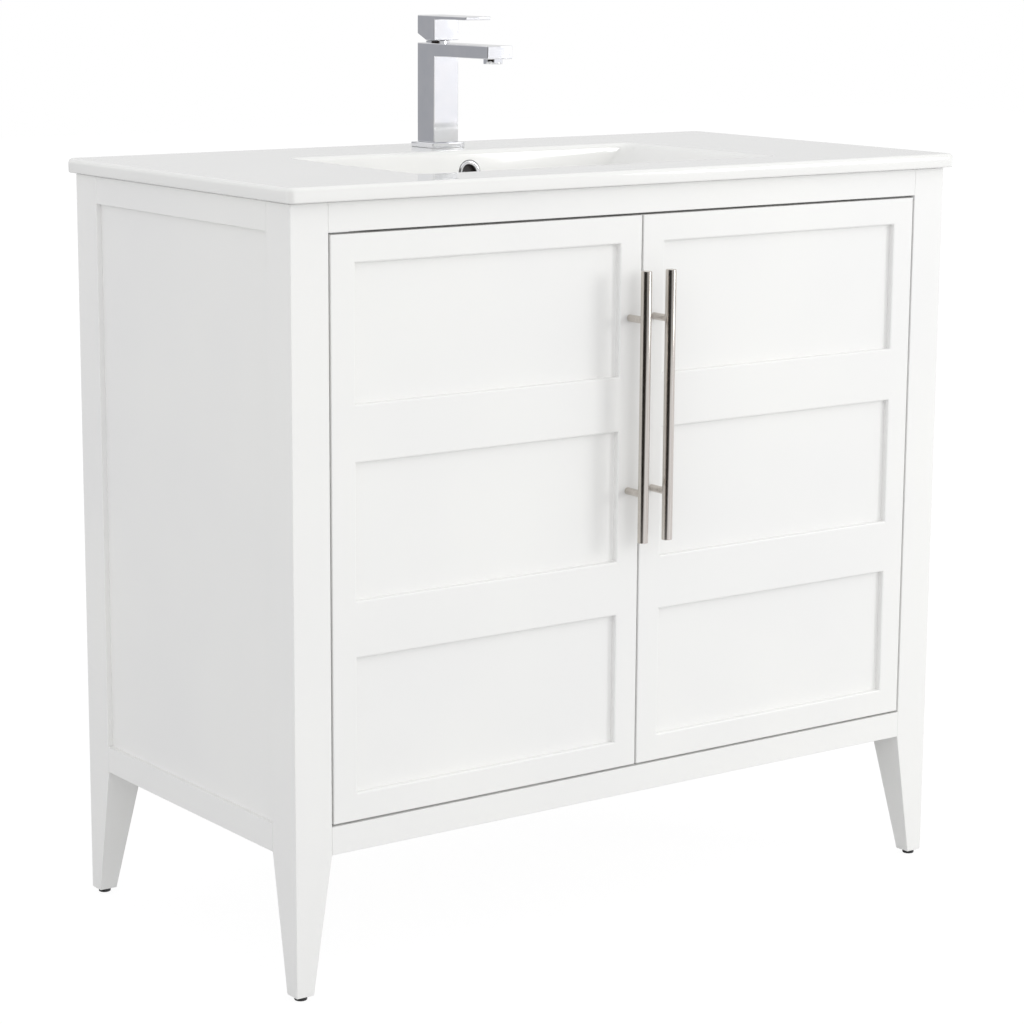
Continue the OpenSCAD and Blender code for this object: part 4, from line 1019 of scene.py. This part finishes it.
def toward(tree, way, direction, low, high, stops):
    """Colour that runs through stops as a view direction turns towards a given one."""
    dot = add(tree, "ShaderNodeVectorMath", {"operation": "DOT_PRODUCT", 1: direction}, {0: way})
    spread = add(tree, "ShaderNodeMapRange", {"From Min": low, "From Max": high},
                 {"Value": dot.outputs["Value"]})
    ramp = add(tree, "ShaderNodeValToRGB", None, {"Fac": spread.outputs["Result"]})
    ramp.color_ramp.interpolation = "EASE"
    while len(ramp.color_ramp.elements) < len(stops):
        ramp.color_ramp.elements.new(0.5)
    for element, (at, colour) in zip(ramp.color_ramp.elements, stops):
        element.position = at
        element.color = linear(colour)
    return ramp.outputs["Color"]


def soft_sky():
    """Even studio light, a little cooler from the left. Gloss also sees the room: white walls to the
    right and behind, a grey one on the left, and the dark open side where the studio's door is."""
    world = bpy.data.worlds.new("soft_sky")
    bpy.context.scene.world = world
    world.use_nodes = True
    tree = world.node_tree
    tree.nodes.clear()
    way = add(tree, "ShaderNodeTexCoord").outputs["Generated"]
    ambient = toward(tree, way, (0.86, -0.48, 0.12), -1.0, 1.0,
                     ((0.0, "#FFFFFF"), (0.35, "#F9F9FA"), (0.6, "#EBEBEB"), (1.0, "#EEEEED")))
    shade = toward(tree, way, (-0.48, 0.2, 0.85), 0.62, 0.97, ((0.0, "#FFFFFF"), (1.0, "#B6B6B8")))
    shaded = add(tree, "ShaderNodeMixRGB", {"blend_type": "MULTIPLY", "Fac": 1.0},
                 {"Color1": ambient, "Color2": shade})
    light = add(tree, "ShaderNodeBackground", {"Strength": 1.29}, {"Color": shaded.outputs[0]})
    low_walls = toward(tree, way, (0.55, -0.83, 0.0), -1.0, 1.0,
                       ((0.02, "#A6A7AB"), (0.2, "#BABBBE"), (0.36, "#E6E6E6"), (0.7, "#FCFCFF")))
    high_walls = toward(tree, way, (0.0, -1.0, 0.0), -1.0, 1.0,
                        ((0.1, "#E2E2E2"), (0.5, "#D6D6D6"), (0.9, "#BDBEBE")))
    rise = add(tree, "ShaderNodeSeparateXYZ", None, {"Vector": way}).outputs["Z"]
    above = add(tree, "ShaderNodeMapRange", {"From Min": -0.02, "From Max": 0.05}, {"Value": rise})
    ceiling = add(tree, "ShaderNodeMapRange", {"From Min": 0.35, "From Max": 0.7}, {"Value": rise})
    walls = add(tree, "ShaderNodeMixRGB", None,
                {"Fac": above.outputs[0], "Color1": low_walls, "Color2": high_walls})
    covered = add(tree, "ShaderNodeMixRGB", {"Color2": linear("#F2F2F2")},
                  {"Fac": ceiling.outputs[0], "Color1": walls.outputs[0]})
    opening = toward(tree, way, (-0.86, -0.51, 0.0), 0.62, 0.86,
                     ((0.0, "#FFFFFF"), (1.0, "#2E2A27")))
    room = add(tree, "ShaderNodeMixRGB", {"blend_type": "MULTIPLY", "Fac": 1.0},
               {"Color1": covered.outputs[0], "Color2": opening})
    gloss = add(tree, "ShaderNodeBackground", {"Strength": 1.0}, {"Color": room.outputs[0]})
    plain = add(tree, "ShaderNodeBackground", {"Color": linear("#FFFFFF"), "Strength": 1.0})
    path = add(tree, "ShaderNodeLightPath")
    seen = add(tree, "ShaderNodeMath", {"operation": "MAXIMUM"},
               {0: path.outputs["Is Camera Ray"], 1: path.outputs["Is Transmission Ray"]})
    inner = add(tree, "ShaderNodeMixShader", None,
                {0: path.outputs["Is Glossy Ray"], 1: light.outputs[0], 2: gloss.outputs[0]})
    mix = add(tree, "ShaderNodeMixShader", None,
              {0: seen.outputs[0], 1: inner.outputs[0], 2: plain.outputs[0]})
    out = add(tree, "ShaderNodeOutputWorld")
    tree.links.new(mix.outputs[0], out.inputs[0])


def softbox(name, at, aim, width, height, power):
    data = bpy.data.lights.new(name, "AREA")
    data.shape, data.size, data.size_y, data.energy = "RECTANGLE", width, height, power
    obj = bpy.data.objects.new(name, data)
    obj.location = at
    obj.rotation_mode = "QUATERNION"
    obj.rotation_quaternion = (Vector(aim) - Vector(at)).to_track_quat("-Z", "Y")
    bpy.context.scene.collection.objects.link(obj)


camera()
white_floor()
soft_sky()
softbox("key_softbox", (2.6, -2.7, 1.35), (0.0, -0.2, 0.5), 0.9, 1.2, 24)
bpy.context.scene.view_settings.view_transform = "Standard"
